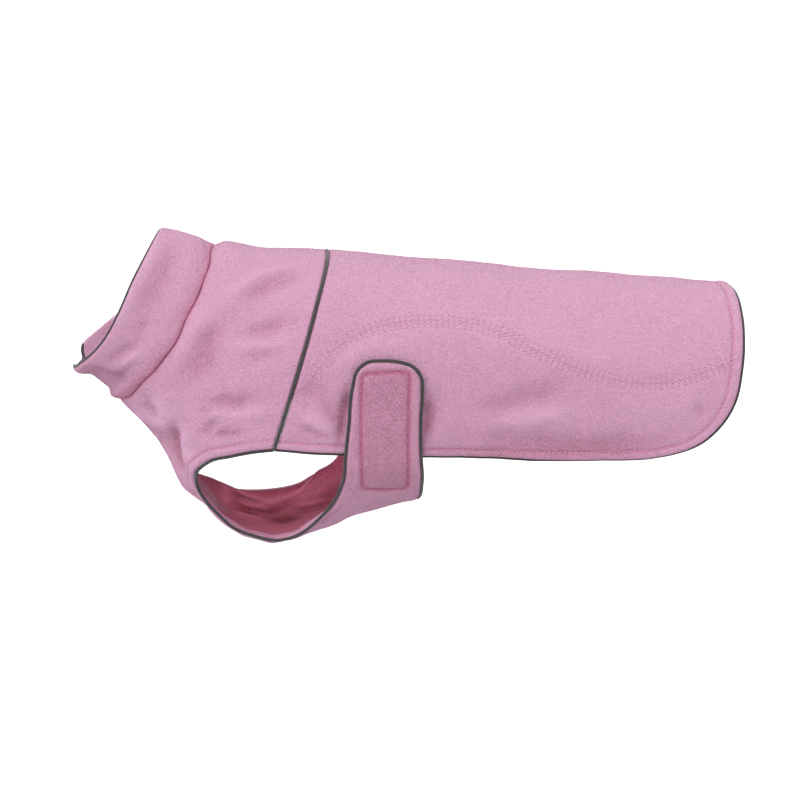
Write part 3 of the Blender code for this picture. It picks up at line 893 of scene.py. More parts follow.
# Front: yoke, chest, belly band and both tabs in one piece, closed by a seam under the chest.
# The band passes under the belly and its tabs close on the side panels by hook and loop.
COLLAR_SEAM = -68.0
COLLAR_RIM = -101.0
TAB_LIFT = 3.4                 # the tabs lie on the side panels
BAND_FRONT = 20.0              # the belly band lies behind this
TAB_REACH = (170.0, 148.0)     # girth over which the band climbs onto the side panels
ARM_STITCH = 5.3               # from the cloth's edge to the topstitching of the armhole
TURNED_IN = (10.8, 25.0)       # pale cloth turned in along the left armhole, its paleness partly painted light, wider in front where light falls in: behind, in front
ROLLED_IN = 2.4                # what shows of it where the right armhole rolls out
BELLY_TUCK = 4.4               # how far the cloth between the two armholes is drawn in
BAND_TUCK = 2.1                # and the band under the belly
ARMHOLE = [Place(*row) for row in (
    (0, 145.5), (-10, 148), (-19, 151), (-26, 155), (-29.5, 163), (-29, 175), (-23, 189),
    (-13, 201), (0, 211), (10, 213), (20, 203), (27, 190), (32, 178), (34, 163), (32, 145))]
ROLLED_ARMHOLE = [Place(*row) for row in (   # the right one, its lower edge rolled over its cord
    (0, 145.5), (-10, 148), (-19, 151), (-26, 155), (-30, 163), (-33, 175), (-33.5, 187),
    (-30, 197.5), (-22.5, 202.5), (-13.5, 206.3), (-4, 207.5), (4, 206.3), (11.5, 203.2),
    (18.5, 198.7), (23, 194.2), (28, 190.9), (32.5, 187), (35.8, 180.5), (36.8, 172), (35.5, 158),
    (32, 145))]
TAB = [Place(*row) for row in (
    (32, 145), (30, 125), (27.5, 103), (28.5, 92.5), (33, 88), (41, 86.5), (49, 86.5),
    (56, 88.5), (60.5, 94), (62, 103), (63, 118), (65, 138), (68, 160), (69, 178), (68, 198),
    (67, 218.5))]
TAB_SHADE = 0.36               # painted shade on the tabs, as if their nap, lying the other way, caught less light
TAB_FADE = (206.0, 156.0)      # girth over which that painted shade comes in
TAPED_SHADE = 0.45             # the share of that painted shade that is left within the tape's stitching
TAPE_GROOVE = Groove(1.0, 1.2)
# painted shade along the tape's stitching
TAPE_SHADOW = Groove(0.85, 1.15)
TAPE_SWELL = Groove(0.35, 1.3)     # the cloth swells this far off the stitching:
TAPE_SWELL_AT = 2.9
COLLAR_CLEFT = Groove(1.2, 3.0)    # the collar's seam, on the outer face and on the inner one
COLLAR_CLEFT_INSIDE = Groove(0.9, 3.2)
# painted shade in the collar's seam
COLLAR_SHADOW = Groove(0.9, 0.9)
CHEST_GROOVE = Groove(1.0, 1.8)    # the seam under the chest
# painted shade in the seam under the chest
CHEST_SHADOW = Groove(0.8, 1.2)
CHEST_UNDER = (0.7, 7.0)       # how thick its allowance lies inside, and how wide
CHEST_GAP = 0.003              # half the width of the seam under the chest
COLLAR_GAP = 0.1               # and of the collar's
ARM_SHADE = 0.8                 # the share of an edge's painted shade at the armholes and tabs
# the same painted shade at the yoke
YOKE_SHADE = 0.6
TURNED_SHADOW = 0.35           # along the end of the turned-in cloth
BAND_BLEND = 6.0               # the band joins the chest over this, to both sides
BAND_RUMPLE = Rumple(0.2, 30, 7)
TAPE_CORNERS = [Place(44, 167), Place(31.3, 94.5), Place(54.8, 91.5), Place(62.5, 168)]
ARM_EDGE = smooth(ARMHOLE, LINE_STEP)
FRONT_EDGE = np.vstack([ARM_EDGE, smooth(TAB, LINE_STEP)[1:]])


def rolled_out(line):
    """Where the lower edge of the right armhole is rolled out over its cord."""
    return ease((line[:, 1] - 168) / 18) * (line[:, 0] < 45)


RIGHT_ARM_EDGE = smooth(ROLLED_ARMHOLE, LINE_STEP)
RIGHT_EDGE = np.vstack([RIGHT_ARM_EDGE, smooth(TAB, LINE_STEP)[1:]])
RIGHT_BORDER = moved_in(RIGHT_EDGE, SNUG)
LEFT_BORDER = mirrored(moved_in(FRONT_EDGE, SNUG))
FRONT_YOKE_EDGE = moved_in(YOKE_LINE, SNUG)


def drawn_in(places):
    """How far the cloth is drawn in between the lower edges of the armholes, and the band."""
    low = [place for place in ARMHOLE if place.girth >= 175]
    edge = np.interp(places[:, 0], [place.at for place in low], [place.girth for place in low])
    reach = ease((places[:, 0] + 31) / 12) * ease((40 - places[:, 0]) / 18)
    band = ease((places[:, 0] - 34) / 12) * ease((70 - places[:, 0]) / 14)
    return (BELLY_TUCK * reach * ease((np.abs(places[:, 1]) - edge - 1.0) / 8)
            + BAND_TUCK * band * ease((np.abs(places[:, 1]) - 190) / 16))


def front_lift(places):
    """The belly band climbs onto the side panels, where the tabs close it."""
    low, high = TAB_REACH
    climb = TAB_LIFT * ease((low - np.abs(places[:, 1])) / (low - high))
    points = SHAPE.point(*places.T)
    band = climb + rumpled(points, BAND_RUMPLE)
    share = ease((places[:, 0] - BAND_FRONT + BAND_BLEND) / (2 * BAND_BLEND))
    return share * band + (1 - share) * body_lift(places) - drawn_in(places)


def chest_line(gap):
    """The right edge of the seam under the neck and chest, from the band to the rim."""
    at = np.arange(TAIL, COLLAR_RIM - 5, -LINE_STEP)
    return np.stack([at, SHAPE.half_girth(at) - gap], 1)


def rounded_corners(corners, radius):
    """A closed line through the corners, each rounded off."""
    line = []
    for k, corner in enumerate(np.array(corners, float)):
        before = np.array(corners[k - 1], float) - corner
        after = np.array(corners[(k + 1) % len(corners)], float) - corner
        start = corner + before / np.linalg.norm(before) * radius
        end = corner + after / np.linalg.norm(after) * radius
        for share in np.linspace(0, 1, 6):
            line.append((1 - share) ** 2 * start + 2 * share * (1 - share) * corner
                        + share ** 2 * end)
    return np.array(line + [line[0]])


def seam_round_neck():
    """The slightly wavy seam of the collar, from the right side to the left."""
    line = round_body(COLLAR_SEAM, WHOLE, -WHOLE)
    girth = line[:, 1]
    line[:, 0] += 0.35 * np.sin(girth / 7.3) + 0.25 * np.sin(girth / 4.1 + 1.0)
    return line


COLLAR_SEAM_LINE = seam_round_neck()
TAPE_LINES = []
for sign in (1, -1):
    corners = [(place.at, sign * place.girth) for place in TAPE_CORNERS]
    loop = rounded_corners(corners, 3.0)
    walked = lengths_along(loop)
    TAPE_LINES.append(read_off(loop, walked, np.arange(0, walked[-1], LINE_STEP)))
CHEST_LINE = chest_line(CHEST_GAP)


def from_chest_seam(places):
    return SHAPE.half_girth(places[:, 0]) - np.abs(places[:, 1])


def turned_in_width(places):
    """How much of the turned-in cloth shows inside the left armhole: more in front."""
    behind, in_front = TURNED_IN
    return behind + (in_front - behind) * ease((4 - places[:, 0]) / 24)


def strip_past_chest(places):
    """Where the left armhole's pale strip of turned-in cloth runs on to the chest seam."""
    wide = 0.9 * (-6.0 - places[:, 0])
    return ease((places[:, 0] + 36) / 10) * ease((wide - from_chest_seam(places)) / 1.2)


def front_shade(places, taped):
    """The front's painted shade: that of its folds, and that on its tabs round the tapes."""
    on_body = ease((BAND_FRONT + BAND_BLEND - places[:, 0]) / (2 * BAND_BLEND))
    start, end = TAB_FADE
    on_tab = (1 - on_body) * ease((start - np.abs(places[:, 1])) / (start - end))
    on_tab *= TAPED_SHADE + (1 - TAPED_SHADE) * ease((np.maximum(*taped) + 2.5) / 3.5)
    return body_folds(places)[1] * on_body + TAB_SHADE * on_tab


def front_surface(places, points):
    """The front off the shape."""
    middle = front_lift(places)
    outer = middle + WALL / 2
    inner = middle - WALL / 2
    crease = np.zeros(len(places))
    turned = np.zeros(len(places))
    darker = np.zeros(len(places))
    beside_arm = ease((38 - places[:, 0]) / 6) * ease((np.abs(places[:, 1]) - 136) / 8)
    for border, wide in ((RIGHT_BORDER, ROLLED_IN), (LEFT_BORDER, turned_in_width(places))):
        plain = edge_form(points, border)
        sewn = edge_form(points, border, ARM_STITCH)
        up, down, pressed = [a * (1 - beside_arm) + b * beside_arm for a, b in zip(plain, sewn)]
        outer += up
        inner += down
        crease = np.maximum(crease, ARM_SHADE * pressed)
        edge = away(points, on_shape(border))
        turned = np.maximum(turned, beside_arm * ease((wide - edge) / 1.2))
        darker += TURNED_SHADOW * beside_arm * np.exp(-((edge - wide - 0.6) / 0.9) ** 2)
    up, down, pressed = edge_form(points, FRONT_YOKE_EDGE)
    outer += up
    inner += down
    crease = np.maximum(crease, YOKE_SHADE * pressed)
    taped = [away(points, on_shape(line)) * np.where(inside(line, places), 1, -1)
             for line in TAPE_LINES]
    for far in np.abs(taped):
        outer -= groove(far, TAPE_GROOVE) - groove(far - TAPE_SWELL_AT, TAPE_SWELL)
        crease = np.maximum(crease, groove(far, TAPE_SHADOW))
    seam = away(points, on_shape(COLLAR_SEAM_LINE))
    outer -= cleft(seam, COLLAR_CLEFT)
    inner -= cleft(seam, COLLAR_CLEFT_INSIDE)
    crease = np.maximum(crease, cleft(seam, COLLAR_SHADOW))
    chest_seam = from_chest_seam(places)
    outer -= groove(chest_seam, CHEST_GROOVE)
    crease = np.maximum(crease, groove(chest_seam, CHEST_SHADOW))
    thick, wide = CHEST_UNDER
    inner -= thick * ease((wide - chest_seam) / 1.2)
    turned = np.maximum(turned, strip_past_chest(places))
    return faces_of(places, outer, inner, crease, front_shade(places, taped),
                    turned=turned, darker=darker)


ARM_ROWS = [moved_in(RIGHT_ARM_EDGE, SNUG + ARM_STITCH),
            mirrored(moved_in(ARM_EDGE, SNUG + ARM_STITCH))]
front_rows = [row for line in ARM_ROWS + TAPE_LINES for row in stitch_rows(line)]
front_rows += [moved_in(smooth(fold.run, 1.2), offset) for fold in LINING_FOLDS
               if fold.width < 3 for offset in (-1.2, 0.0, 1.2)]
front = cut_panel("front_panel", outline([
    CHEST_LINE,
    COLLAR_SEAM_LINE + (COLLAR_GAP, 0),
    mirrored(CHEST_LINE),
    extended(LEFT_BORDER, 8),
    FRONT_YOKE_EDGE,
    extended(RIGHT_BORDER, 8),
]), front_rows, front_surface)
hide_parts("front")
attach(front, "root")

# Collar: a stand collar of two layers, sewn to the yoke in a deep seam over which it puffs
# out. Its rim is piped, and it leans forward round the neck.
COLLAR_WALL = 3.0
COLLAR_OUT = (0.5, 1.5)        # how far it stands off the shape, and more where it puffs
COLLAR_RUMPLE = Rumple(0.3, 26, 11)
CHIN_TUCK = 4.5                # how far it is tucked in under the chin
RIM_ROUND = 2.6                # how far in the folded rim starts to round off
RIM_DROP = 1.15
# painted shade on the rolled rim
RIM_SHADE = 0.2
FOOT_CLEFT = Groove(1.3, 1.8)  # its seam to the yoke
# painted shade in that seam, then a wider painted shadow beside it
FOOT_SHADOW = Groove(0.9, 1.3)
FOOT_SHADE = Groove(0.22, 5.0)
CHIN_GROOVE = Groove(0.8, 1.6)     # its seam under the chin
# painted shade on the collar's lower ends, under the chin
CHIN_SHADE = 0.16
ROLLED_RIM = (26.0, 114.0)     # girth where the right side of the rim rolls out over its cord
Dip = namedtuple("Dip", "girth inset")
RIM = [Dip(*row) for row in (
    (-145, 0.0), (-124, 0.4), (-110, 1.0), (-98, 2.2), (-85, 2.6), (-66, 1.3), (-46, -0.7),
    (-24, -1.0), (0, -0.5), (22, 0.9), (42, 3.2), (62, 5.0), (79, 4.8), (92, 1.8), (103, -0.9),
    (110, -2.3), (116, -0.8), (123, 2.4), (130, 2.0), (145, 0.0))]


def rim_roll(places):
    """How much the rim is rolled out over its cord."""
    start, end = ROLLED_RIM
    return ease((places[:, 1] - start) / 14) * ease((end - places[:, 1]) / 8)


def rim_line(inset, rolled):
    """A line along the uneven rim, moved in and, where it rolls out, moved again."""
    line = round_body(COLLAR_RIM, WHOLE, -WHOLE)
    waves = through([row.girth for row in RIM], [[row.inset] for row in RIM], line[:, 1])
    line[:, 0] += waves[:, 0] + inset + rolled * rim_roll(line)
    return line


RIM_BORDER = rim_line(TUCKED, -0.3)


def collar_lift(places):
    """How far the middle of the collar's cloth lies off the shape: it puffs out low down."""
    height = (COLLAR_SEAM - places[:, 0]) / (COLLAR_SEAM - COLLAR_RIM)
    puff = ease(height / 0.3) * (1 - 0.8 * ease((height - 0.3) / 0.7))
    points = SHAPE.point(*places.T)
    tuck = (CHIN_TUCK * ease((places[:, 0] + 98) / 8) * ease((-72 - places[:, 0]) / 6)
            * ease((np.abs(places[:, 1]) - 102) / 12))
    out, puffed = COLLAR_OUT
    return (out + puffed * puff + rumpled(points, COLLAR_RUMPLE)
            - body_folds(places)[0] - settled(places) - tuck)


def collar_surface(places, points):
    """The outer and inner faces of the collar, off the shape."""
    middle = collar_lift(places)
    outer = middle + COLLAR_WALL / 2
    inner = middle - COLLAR_WALL / 2
    rounding = rounded(away(points, on_shape(RIM_BORDER)), RIM_ROUND)
    outer -= RIM_DROP * rounding
    inner += RIM_DROP * rounding
    crease = RIM_SHADE * rounding
    seam = away(points, on_shape(COLLAR_SEAM_LINE))
    outer -= cleft(seam, FOOT_CLEFT)
    crease = np.maximum(crease, cleft(seam, FOOT_SHADOW))
    outer -= groove(from_chest_seam(places), CHIN_GROOVE)
    # painted shade: the folds', a shadow beside the seam, and more under the chin
    shade = (body_folds(places)[1] + groove(seam, FOOT_SHADE)
             + CHIN_SHADE * ease((np.abs(places[:, 1]) - 96) / 20))
    return faces_of(places, outer, inner, crease, shade)


collar = cut_panel("collar_panel", outline([
    CHEST_LINE,
    RIM_BORDER,
    mirrored(CHEST_LINE),
    (COLLAR_SEAM_LINE - (COLLAR_GAP, 0))[::-1],
]), [], collar_surface)
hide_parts("collar")
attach(collar, "root")

# Corded piping: a dark grey woven bias strip wrapped round a cord, sewn into the yoke seam,
# the armholes with their tabs, the hem with the tail, and the rim of the collar.
CORD_SIDES = 14
CORD_RUMPLE = Rumple(0.035, 9, 21)     # share of its thickness
CORD_SHORT = 0.3               # a cord that runs into another one stops this short
YOKE_CORD_OUT = 0.7            # how far the cords lie out from the middle of the cloth
HEM_CORD_OUT = -0.7
RIM_CORD_OUT = (-0.5, 3.0)     # along the rim, and more where it rolls out
ROLLED_CORD = (2.2, 2.3)       # how far the rolled-out edge's cord lies on, and out


def piping_nodes():
    """Geometry tree: a closed round cord along a line, with a map of its wrapping."""
    tree, given, output = group_of(
        "corded piping", "GeometryNodeTree",
        [("Line", "NodeSocketGeometry", None), ("Radius", "NodeSocketFloat", 0.001),
         ("Sides", "NodeSocketInt", 12), ("Finish", "NodeSocketMaterial", None)],
        [("Cord", "NodeSocketGeometry")])
    path = node(tree, "GeometryNodeMeshToCurve", {"Mesh": given["Line"]})
    length = node(tree, "GeometryNodeSplineParameter").outputs["Length"]
    kept_path = tree.nodes.new("GeometryNodeCaptureAttribute")
    kept_path.capture_items.new("FLOAT", "Along")
    tree.links.new(path.outputs["Curve"], kept_path.inputs["Geometry"])
    tree.links.new(length, kept_path.inputs["Along"])
    rings = maths(tree, "ADD", given["Sides"], 1.0)
    ring = node(tree, "GeometryNodeCurveArc",
                {"Resolution": rings, "Radius": given["Radius"], "Sweep Angle": 2 * np.pi})
    factor = node(tree, "GeometryNodeSplineParameter").outputs["Factor"]
    kept_ring = tree.nodes.new("GeometryNodeCaptureAttribute")
    kept_ring.capture_items.new("FLOAT", "Around")
    tree.links.new(ring.outputs["Curve"], kept_ring.inputs["Geometry"])
    tree.links.new(factor, kept_ring.inputs["Around"])
    round_it = maths(tree, "MULTIPLY", given["Radius"], 2 * np.pi)
    turn = maths(tree, "MULTIPLY", kept_ring.outputs["Around"], round_it)
    wrap = node(tree, "ShaderNodeCombineXYZ", {"X": kept_path.outputs["Along"], "Y": turn})
    tube = node(tree, "GeometryNodeCurveToMesh",
                {"Curve": kept_path.outputs["Geometry"],
                 "Profile Curve": kept_ring.outputs["Geometry"]})
    mapped = node(tree, "GeometryNodeStoreNamedAttribute",
                  {"Geometry": tube.outputs["Mesh"], "Name": "wrap",
                   "Value": wrap.outputs["Vector"]}, data_type="FLOAT2", domain="CORNER")
    merged = node(tree, "GeometryNodeMergeByDistance",
                  {"Geometry": mapped.outputs["Geometry"], "Distance": 0.00002})
    realized = node(tree, "GeometryNodeRealizeInstances",
                    {"Geometry": merged.outputs["Geometry"]})
    soft = node(tree, "GeometryNodeSetShadeSmooth", {"Geometry": realized.outputs["Geometry"]})
    done = node(tree, "GeometryNodeSetMaterial",
                {"Geometry": soft.outputs["Geometry"], "Material": given["Finish"]})
    tree.links.new(done.outputs["Geometry"], output.inputs["Cord"])
    return tree


def made_by(tree, name, mesh, values):
    """The plain mesh that a geometry tree makes from a mesh, as one piece of the coat."""
    piece = bpy.data.objects.new(name, mesh)
    bpy.context.scene.collection.objects.link(piece)
    modifier = piece.modifiers.new(tree.name, "NODES")
    modifier.node_group = tree
    for item in tree.interface.items_tree:
        if item.in_out == "INPUT" and item.name in values:
            modifier[item.identifier] = values[item.name]
    bpy.context.view_layer.update()
    result = piece.evaluated_get(bpy.context.evaluated_depsgraph_get())
    plain = bpy.data.meshes.new_from_object(result)
    plain.name = name
    piece.modifiers.clear()
    piece.data = plain
    return piece


def line_mesh(name, lines, attributes=()):
    """A mesh of open lines, with values kept on their points."""
    starts = np.cumsum([0] + [len(line) for line in lines])
    pairs = [(k, k + 1) for start, line in zip(starts, lines)
             for k in range(start, start + len(line) - 1)]
    mesh = bpy.data.meshes.new(name)
    mesh.from_pydata([tuple(p) for p in np.vstack(lines) * MM], pairs, [])
    for label, values in dict(attributes).items():
        values = np.asarray(values, np.float32)
        kind, field = ("FLOAT", "value") if values.ndim == 1 else ("FLOAT_VECTOR", "vector")
        made = mesh.attributes.new(label, kind, "POINT")
        made.data.foreach_set(field, values.ravel())
    return mesh


def cord_line(line, lift):
    """Points of a cord on the shape, and how thick it is there, closed round at both ends."""
    points = SHAPE.point(*line.T) + SHAPE.axes(*line.T)[2] * lift(line)[:, None]
    walked = lengths_along(points)
    radius = CORD / 2
    ends = radius * (1 - np.cos(np.linspace(0, np.pi / 2, 5)))
    middle = np.linspace(radius, walked[-1] - radius, int(walked[-1] / 1.3))
    at = np.concatenate([ends[:-1], middle, walked[-1] - ends[-2::-1]])
    points = read_off(points, walked, at)
    inset = np.minimum(at, walked[-1] - at)
    thick = np.sqrt(1 - (1 - np.clip(inset / radius, 0, 1)) ** 2)
    return points, thick * (1 + rumpled(points, CORD_RUMPLE))


def piping_material():
    """Dark grey woven bias strip: a fine slanting weave, wrinkled across the cord."""
    made, tree, shader = new_material("woven piping")
    wrap = node(tree, "ShaderNodeUVMap", uv_map="wrap").outputs["UV"]
    weave = node(tree, "ShaderNodeTexWave", {"Vector": wrap, "Scale": 330.0, "Distortion": 1.2,
                                             "Detail": 1.0}, bands_direction="DIAGONAL")
    wrinkle = node(tree, "ShaderNodeTexNoise", {"Vector": wrap, "Scale": 420.0, "Detail": 2.0})
    height = maths(tree, "ADD", weave.outputs["Fac"], wrinkle.outputs["Fac"])
    bump = node(tree, "ShaderNodeBump", {"Strength": 0.6, "Distance": 0.0002, "Height": height})
    colour = mixed_colour(tree, wrinkle.outputs["Fac"], (0.012, 0.011, 0.013, 1),
                          (0.036, 0.032, 0.038, 1))
    plug(shader, {"Base Color": colour, "Normal": bump.outputs["Normal"], "Roughness": 0.8,
                  "Sheen Weight": 0.25})
    return made


PIPING = piping_material()
PIPING_NODES = piping_nodes()


def corded(name, replaced, line, lift):
    """One length of piping, in place of its solid."""
    points, thick = cord_line(line, lift)
    cord = made_by(PIPING_NODES, name, line_mesh(name, [points], {"radius": thick}),
                   {"Radius": CORD / 2 * MM, "Sides": CORD_SIDES, "Finish": PIPING})
    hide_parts(replaced)
    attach(cord, "root")
    return cord


def cut_short(line, start, end):
    """The line without the given lengths at its two ends."""
    walked = lengths_along(line)
    return read_off(line, walked, np.linspace(start, walked[-1] - end, len(line)))


def along_rim():
    """The collar's cord, which lies outside the cloth where the rim rolls out over it."""
    line = rim_line(0.0, 1.5)
    return line[np.abs(line[:, 1]) < SHAPE.half_girth(line[:, 0]) - CHEST_GAP]


yoke_reach = ARMHOLE[0].girth - 0.2
corded("yoke_cord", "yoke_piping", round_body(YOKE_SEAM, yoke_reach, -yoke_reach),
       lambda line: YOKE_CORD_OUT + body_lift(line))
corded("hem_cord", "hem_piping", cut_short(HEM_LINE, CORD_SHORT, CORD_SHORT),
       lambda line: HEM_CORD_OUT + body_lift(line))
right_cord_line = cut_short(RIGHT_EDGE, CORD_SHORT, 0.0)
corded("armhole_cord_right", "armhole_piping_right",
       moved_in(right_cord_line, ROLLED_CORD[0] * rolled_out(right_cord_line)),
       lambda line: front_lift(line) + ROLLED_CORD[1] * rolled_out(line))
corded("armhole_cord_left", "armhole_piping_left",
       mirrored(cut_short(FRONT_EDGE, CORD_SHORT, 0.0)), front_lift)
corded("collar_cord", "collar_piping", along_rim(),
       lambda line: RIM_CORD_OUT[0] + collar_lift(line) + RIM_CORD_OUT[1] * rim_roll(line))

# Stitching: pink thread. A topstitch holds the hem, the tail, the armholes and the tape behind
# each tab, and each side seam is flat-locked with four needle rows that pit the cloth.
THREAD = 0.42                  # diameter
PITCH = 3.2                    # length of one stitch with its gap
STITCH = 2.3                   # thread that shows between two holes
THREAD_OUT = 0.1               # from the cloth's face to the middle of the thread
FLATLOCK_GAP = 1.1             # between two flat-lock stitches
INNER_APART = (0.4, 2.4)       # from the left armhole's topstitching to the rows seen inside


def sewn_rows():
    """Geometry tree: a short bowed stitch at every point of a line, laid along the line."""
    tree, given, output = group_of(
        "sewn rows", "GeometryNodeTree",
        [("Line", "NodeSocketGeometry", None),
         ("Length", "NodeSocketFloat", 0.002), ("Across", "NodeSocketFloat", 0.0),
         ("Radius", "NodeSocketFloat", 0.0002), ("Rise", "NodeSocketFloat", 0.0003),
         ("Finish", "NodeSocketMaterial", None)],
        [("Stitches", "NodeSocketGeometry")])
    path = node(tree, "GeometryNodeMeshToCurve", {"Mesh": given["Line"]})
    facing = node(tree, "GeometryNodeInputNamedAttribute", {"Name": "facing"},
                  data_type="FLOAT_VECTOR").outputs["Attribute"]
    run = node(tree, "GeometryNodeInputTangent").outputs["Tangent"]
    laid = node(tree, "FunctionNodeAxesToRotation",
                {"Primary Axis": facing, "Secondary Axis": run},
                primary_axis="Z", secondary_axis="X")
    skew = node(tree, "FunctionNodeRandomValue", {2: -0.09, 3: 0.09, "Seed": 5},
                data_type="FLOAT").outputs[1]
    turn = node(tree, "ShaderNodeCombineXYZ", {"Z": skew}).outputs["Vector"]
    uneven = node(tree, "FunctionNodeRotateRotation",
                  {"Rotation": laid.outputs["Rotation"], "Rotate By": turn},
                  rotation_space="LOCAL")
    half = maths(tree, "MULTIPLY", given["Length"], 0.5)
    side = maths(tree, "MULTIPLY", given["Across"], 0.5)
    high = maths(tree, "MULTIPLY", given["Rise"], 2.0)
    end = node(tree, "ShaderNodeCombineXYZ", {"X": half, "Y": side}).outputs["Vector"]
    start = node(tree, "ShaderNodeVectorMath", {0: end, "Scale": -1.0},
                 operation="SCALE").outputs[0]
    top = node(tree, "ShaderNodeCombineXYZ", {"Z": high}).outputs["Vector"]
    bow = node(tree, "GeometryNodeCurveQuadraticBezier",
               {"Resolution": 4, "Start": start, "Middle": top, "End": end})
    ring = node(tree, "GeometryNodeCurvePrimitiveCircle",
                {"Resolution": 5, "Radius": given["Radius"]}, mode="RADIUS")
    thread = node(tree, "GeometryNodeCurveToMesh",
                  {"Curve": bow.outputs["Curve"], "Profile Curve": ring.outputs["Curve"],
                   "Fill Caps": True})
    set_out = node(tree, "GeometryNodeInstanceOnPoints",
                   {"Points": path.outputs["Curve"], "Instance": thread.outputs["Mesh"],
                    "Rotation": uneven.outputs["Rotation"]})
    real = node(tree, "GeometryNodeRealizeInstances", {"Geometry": set_out.outputs["Instances"]})
    soft = node(tree, "GeometryNodeSetShadeSmooth", {"Geometry": real.outputs["Geometry"]})
    done = node(tree, "GeometryNodeSetMaterial",
                {"Geometry": soft.outputs["Geometry"], "Material": given["Finish"]})
    tree.links.new(done.outputs["Geometry"], output.inputs["Stitches"])
    return tree


def thread_material(name, colour):
    """Spun polyester thread, a little glossier than the fleece."""
    made, tree, shader = new_material(name)
    nap = node(tree, "ShaderNodeGroup", node_tree=BRUSHED_NAP)
    plug(nap, {"Colour": colour, "Contrast": 0.5})
    plug(shader, {"Base Color": nap.outputs["Colour"], "Roughness": 0.6})
    return made


SEWN_ROWS = sewn_rows()
THREAD_FINISH = thread_material("pink thread", (0.64, 0.31, 0.46, 1))
# darker thread, painted shade for the grooves it sinks in
SHADOWED_THREAD = thread_material("deep pink thread", (0.48, 0.19, 0.32, 1))
LIGHT_THREAD = thread_material("light pink thread", (0.70, 0.39, 0.55, 1))


def evenly(line, pitch):
    """The middles of whole stitches along a line of places."""
    count, length = whole_stitches(line, pitch)
    return read_off(line, lengths_along(on_shape(line)), (np.arange(count) + 0.5) * length)


def sewn(name, rows, surface, inward=False, finish=None, **sizes):
    """Stitches at rows of places, sunk a little into the cloth's outer or inner face."""
    kept = []
    for row in rows:
        points = on_shape(row)
        normal = SHAPE.axes(*row.T)[2]
        outer, inner = surface(row, points)[:2]
        face = inner - THREAD_OUT if inward else outer + THREAD_OUT
        kept.append((points + normal * face[:, None], -normal if inward else normal))
    values = {"Length": STITCH, "Radius": THREAD / 2, "Rise": 0.3, **sizes}
    values = {label: value * MM for label, value in values.items()}
    lines = line_mesh(name, [points for points, _ in kept],
                      {"facing": np.vstack([facing for _, facing in kept])})
    stitches = made_by(SEWN_ROWS, name, lines, {**values, "Finish": finish or THREAD_FINISH})
    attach(stitches, "root")
    return stitches


sewn("hem_topstitch", [evenly(HEM_TOPSTITCH, PITCH)], body_surface)
sewn("armhole_topstitch", [evenly(row, PITCH) for row in ARM_ROWS], front_surface)
inner_rows = [moved_in(RIGHT_ARM_EDGE, SNUG + ROLLED_IN)]
inner_rows += [moved_in(ARM_ROWS[1], -apart) for apart in INNER_APART]
sewn("armhole_lining_rows", [evenly(row, PITCH) for row in inner_rows], front_surface,
     inward=True, finish=SHADOWED_THREAD)
sewn("tape_topstitch", [evenly(row, PITCH) for row in TAPE_LINES], front_surface,
     finish=SHADOWED_THREAD)
for side, seam in (("right", SEAM_RIGHT), ("left", SEAM_LEFT)):
    middles = evenly(sewn_part(seam), SEAM_PITCH)
    rows = [moved_in(middles, way * row) for way in (1, -1) for row in NEEDLE_ROWS]
    sewn("flatlock_rows_" + side, rows, body_surface, finish=LIGHT_THREAD,
         Length=SEAM_PITCH - FLATLOCK_GAP, Radius=0.17, Rise=0.22)

# Nap: the brushed surface of every panel, short tapered tufts that lie this way and that.
TUFT = 0.60                    # length
TUFT_WIDTH = 0.36
TUFTS = 1.0                    # to each square millimetre


def nap_tufts():
    """Geometry tree: tapered tufts scattered over cloth, leaning in all directions."""
    tree, given, output = group_of(
        "nap tufts", "GeometryNodeTree",
        [("Cloth", "NodeSocketGeometry", None), ("Density", "NodeSocketFloat", 1200000.0),
         ("Length", "NodeSocketFloat", 0.0006), ("Width", "NodeSocketFloat", 0.00036),
         ("Least lean", "NodeSocketFloat", 1.0), ("Most lean", "NodeSocketFloat", 1.45),
         ("Finish", "NodeSocketMaterial", None)],
        [("Nap", "NodeSocketGeometry")])
    crease = node(tree, "GeometryNodeInputNamedAttribute", {"Name": "crease"},
                  data_type="FLOAT").outputs["Attribute"]
    bare = maths(tree, "SUBTRACT", 1.0, crease)
    thin = maths(tree, "MULTIPLY", bare, given["Density"])
    roots = node(tree, "GeometryNodeDistributePointsOnFaces",
                 {"Mesh": given["Cloth"], "Density": thin, "Seed": 11})
    yaw = node(tree, "FunctionNodeRandomValue", {2: 0.0, 3: 2 * np.pi, "Seed": 12},
               data_type="FLOAT").outputs[1]
    lean = node(tree, "FunctionNodeRandomValue",
                {2: given["Least lean"], 3: given["Most lean"], "Seed": 13},
                data_type="FLOAT").outputs[1]
    size = node(tree, "FunctionNodeRandomValue", {2: 0.6, 3: 1.3, "Seed": 14},
                data_type="FLOAT").outputs[1]
    turned = node(tree, "FunctionNodeRotateRotation",
                  {"Rotation": roots.outputs["Rotation"],
                   "Rotate By": node(tree, "ShaderNodeCombineXYZ", {"Z": yaw}).outputs[0]},
                  rotation_space="LOCAL")
    leaned = node(tree, "FunctionNodeRotateRotation",
                  {"Rotation": turned.outputs["Rotation"],
                   "Rotate By": node(tree, "ShaderNodeCombineXYZ", {"X": lean}).outputs[0]},
                  rotation_space="LOCAL")
    tuft = node(tree, "GeometryNodeMeshCone",
                {"Vertices": 3, "Radius Top": 0.0, "Depth": given["Length"],
                 "Radius Bottom": maths(tree, "MULTIPLY", given["Width"], 0.5)})
    spread = node(tree, "GeometryNodeInstanceOnPoints",
                  {"Points": roots.outputs["Points"], "Instance": tuft.outputs["Mesh"],
                   "Rotation": leaned.outputs["Rotation"], "Scale": size})
    real = node(tree, "GeometryNodeRealizeInstances", {"Geometry": spread.outputs["Instances"]})
    done = node(tree, "GeometryNodeSetMaterial",
                {"Geometry": real.outputs["Geometry"], "Material": given["Finish"]})
    tree.links.new(done.outputs["Geometry"], output.inputs["Nap"])
    return tree


NAP_TUFTS = nap_tufts()


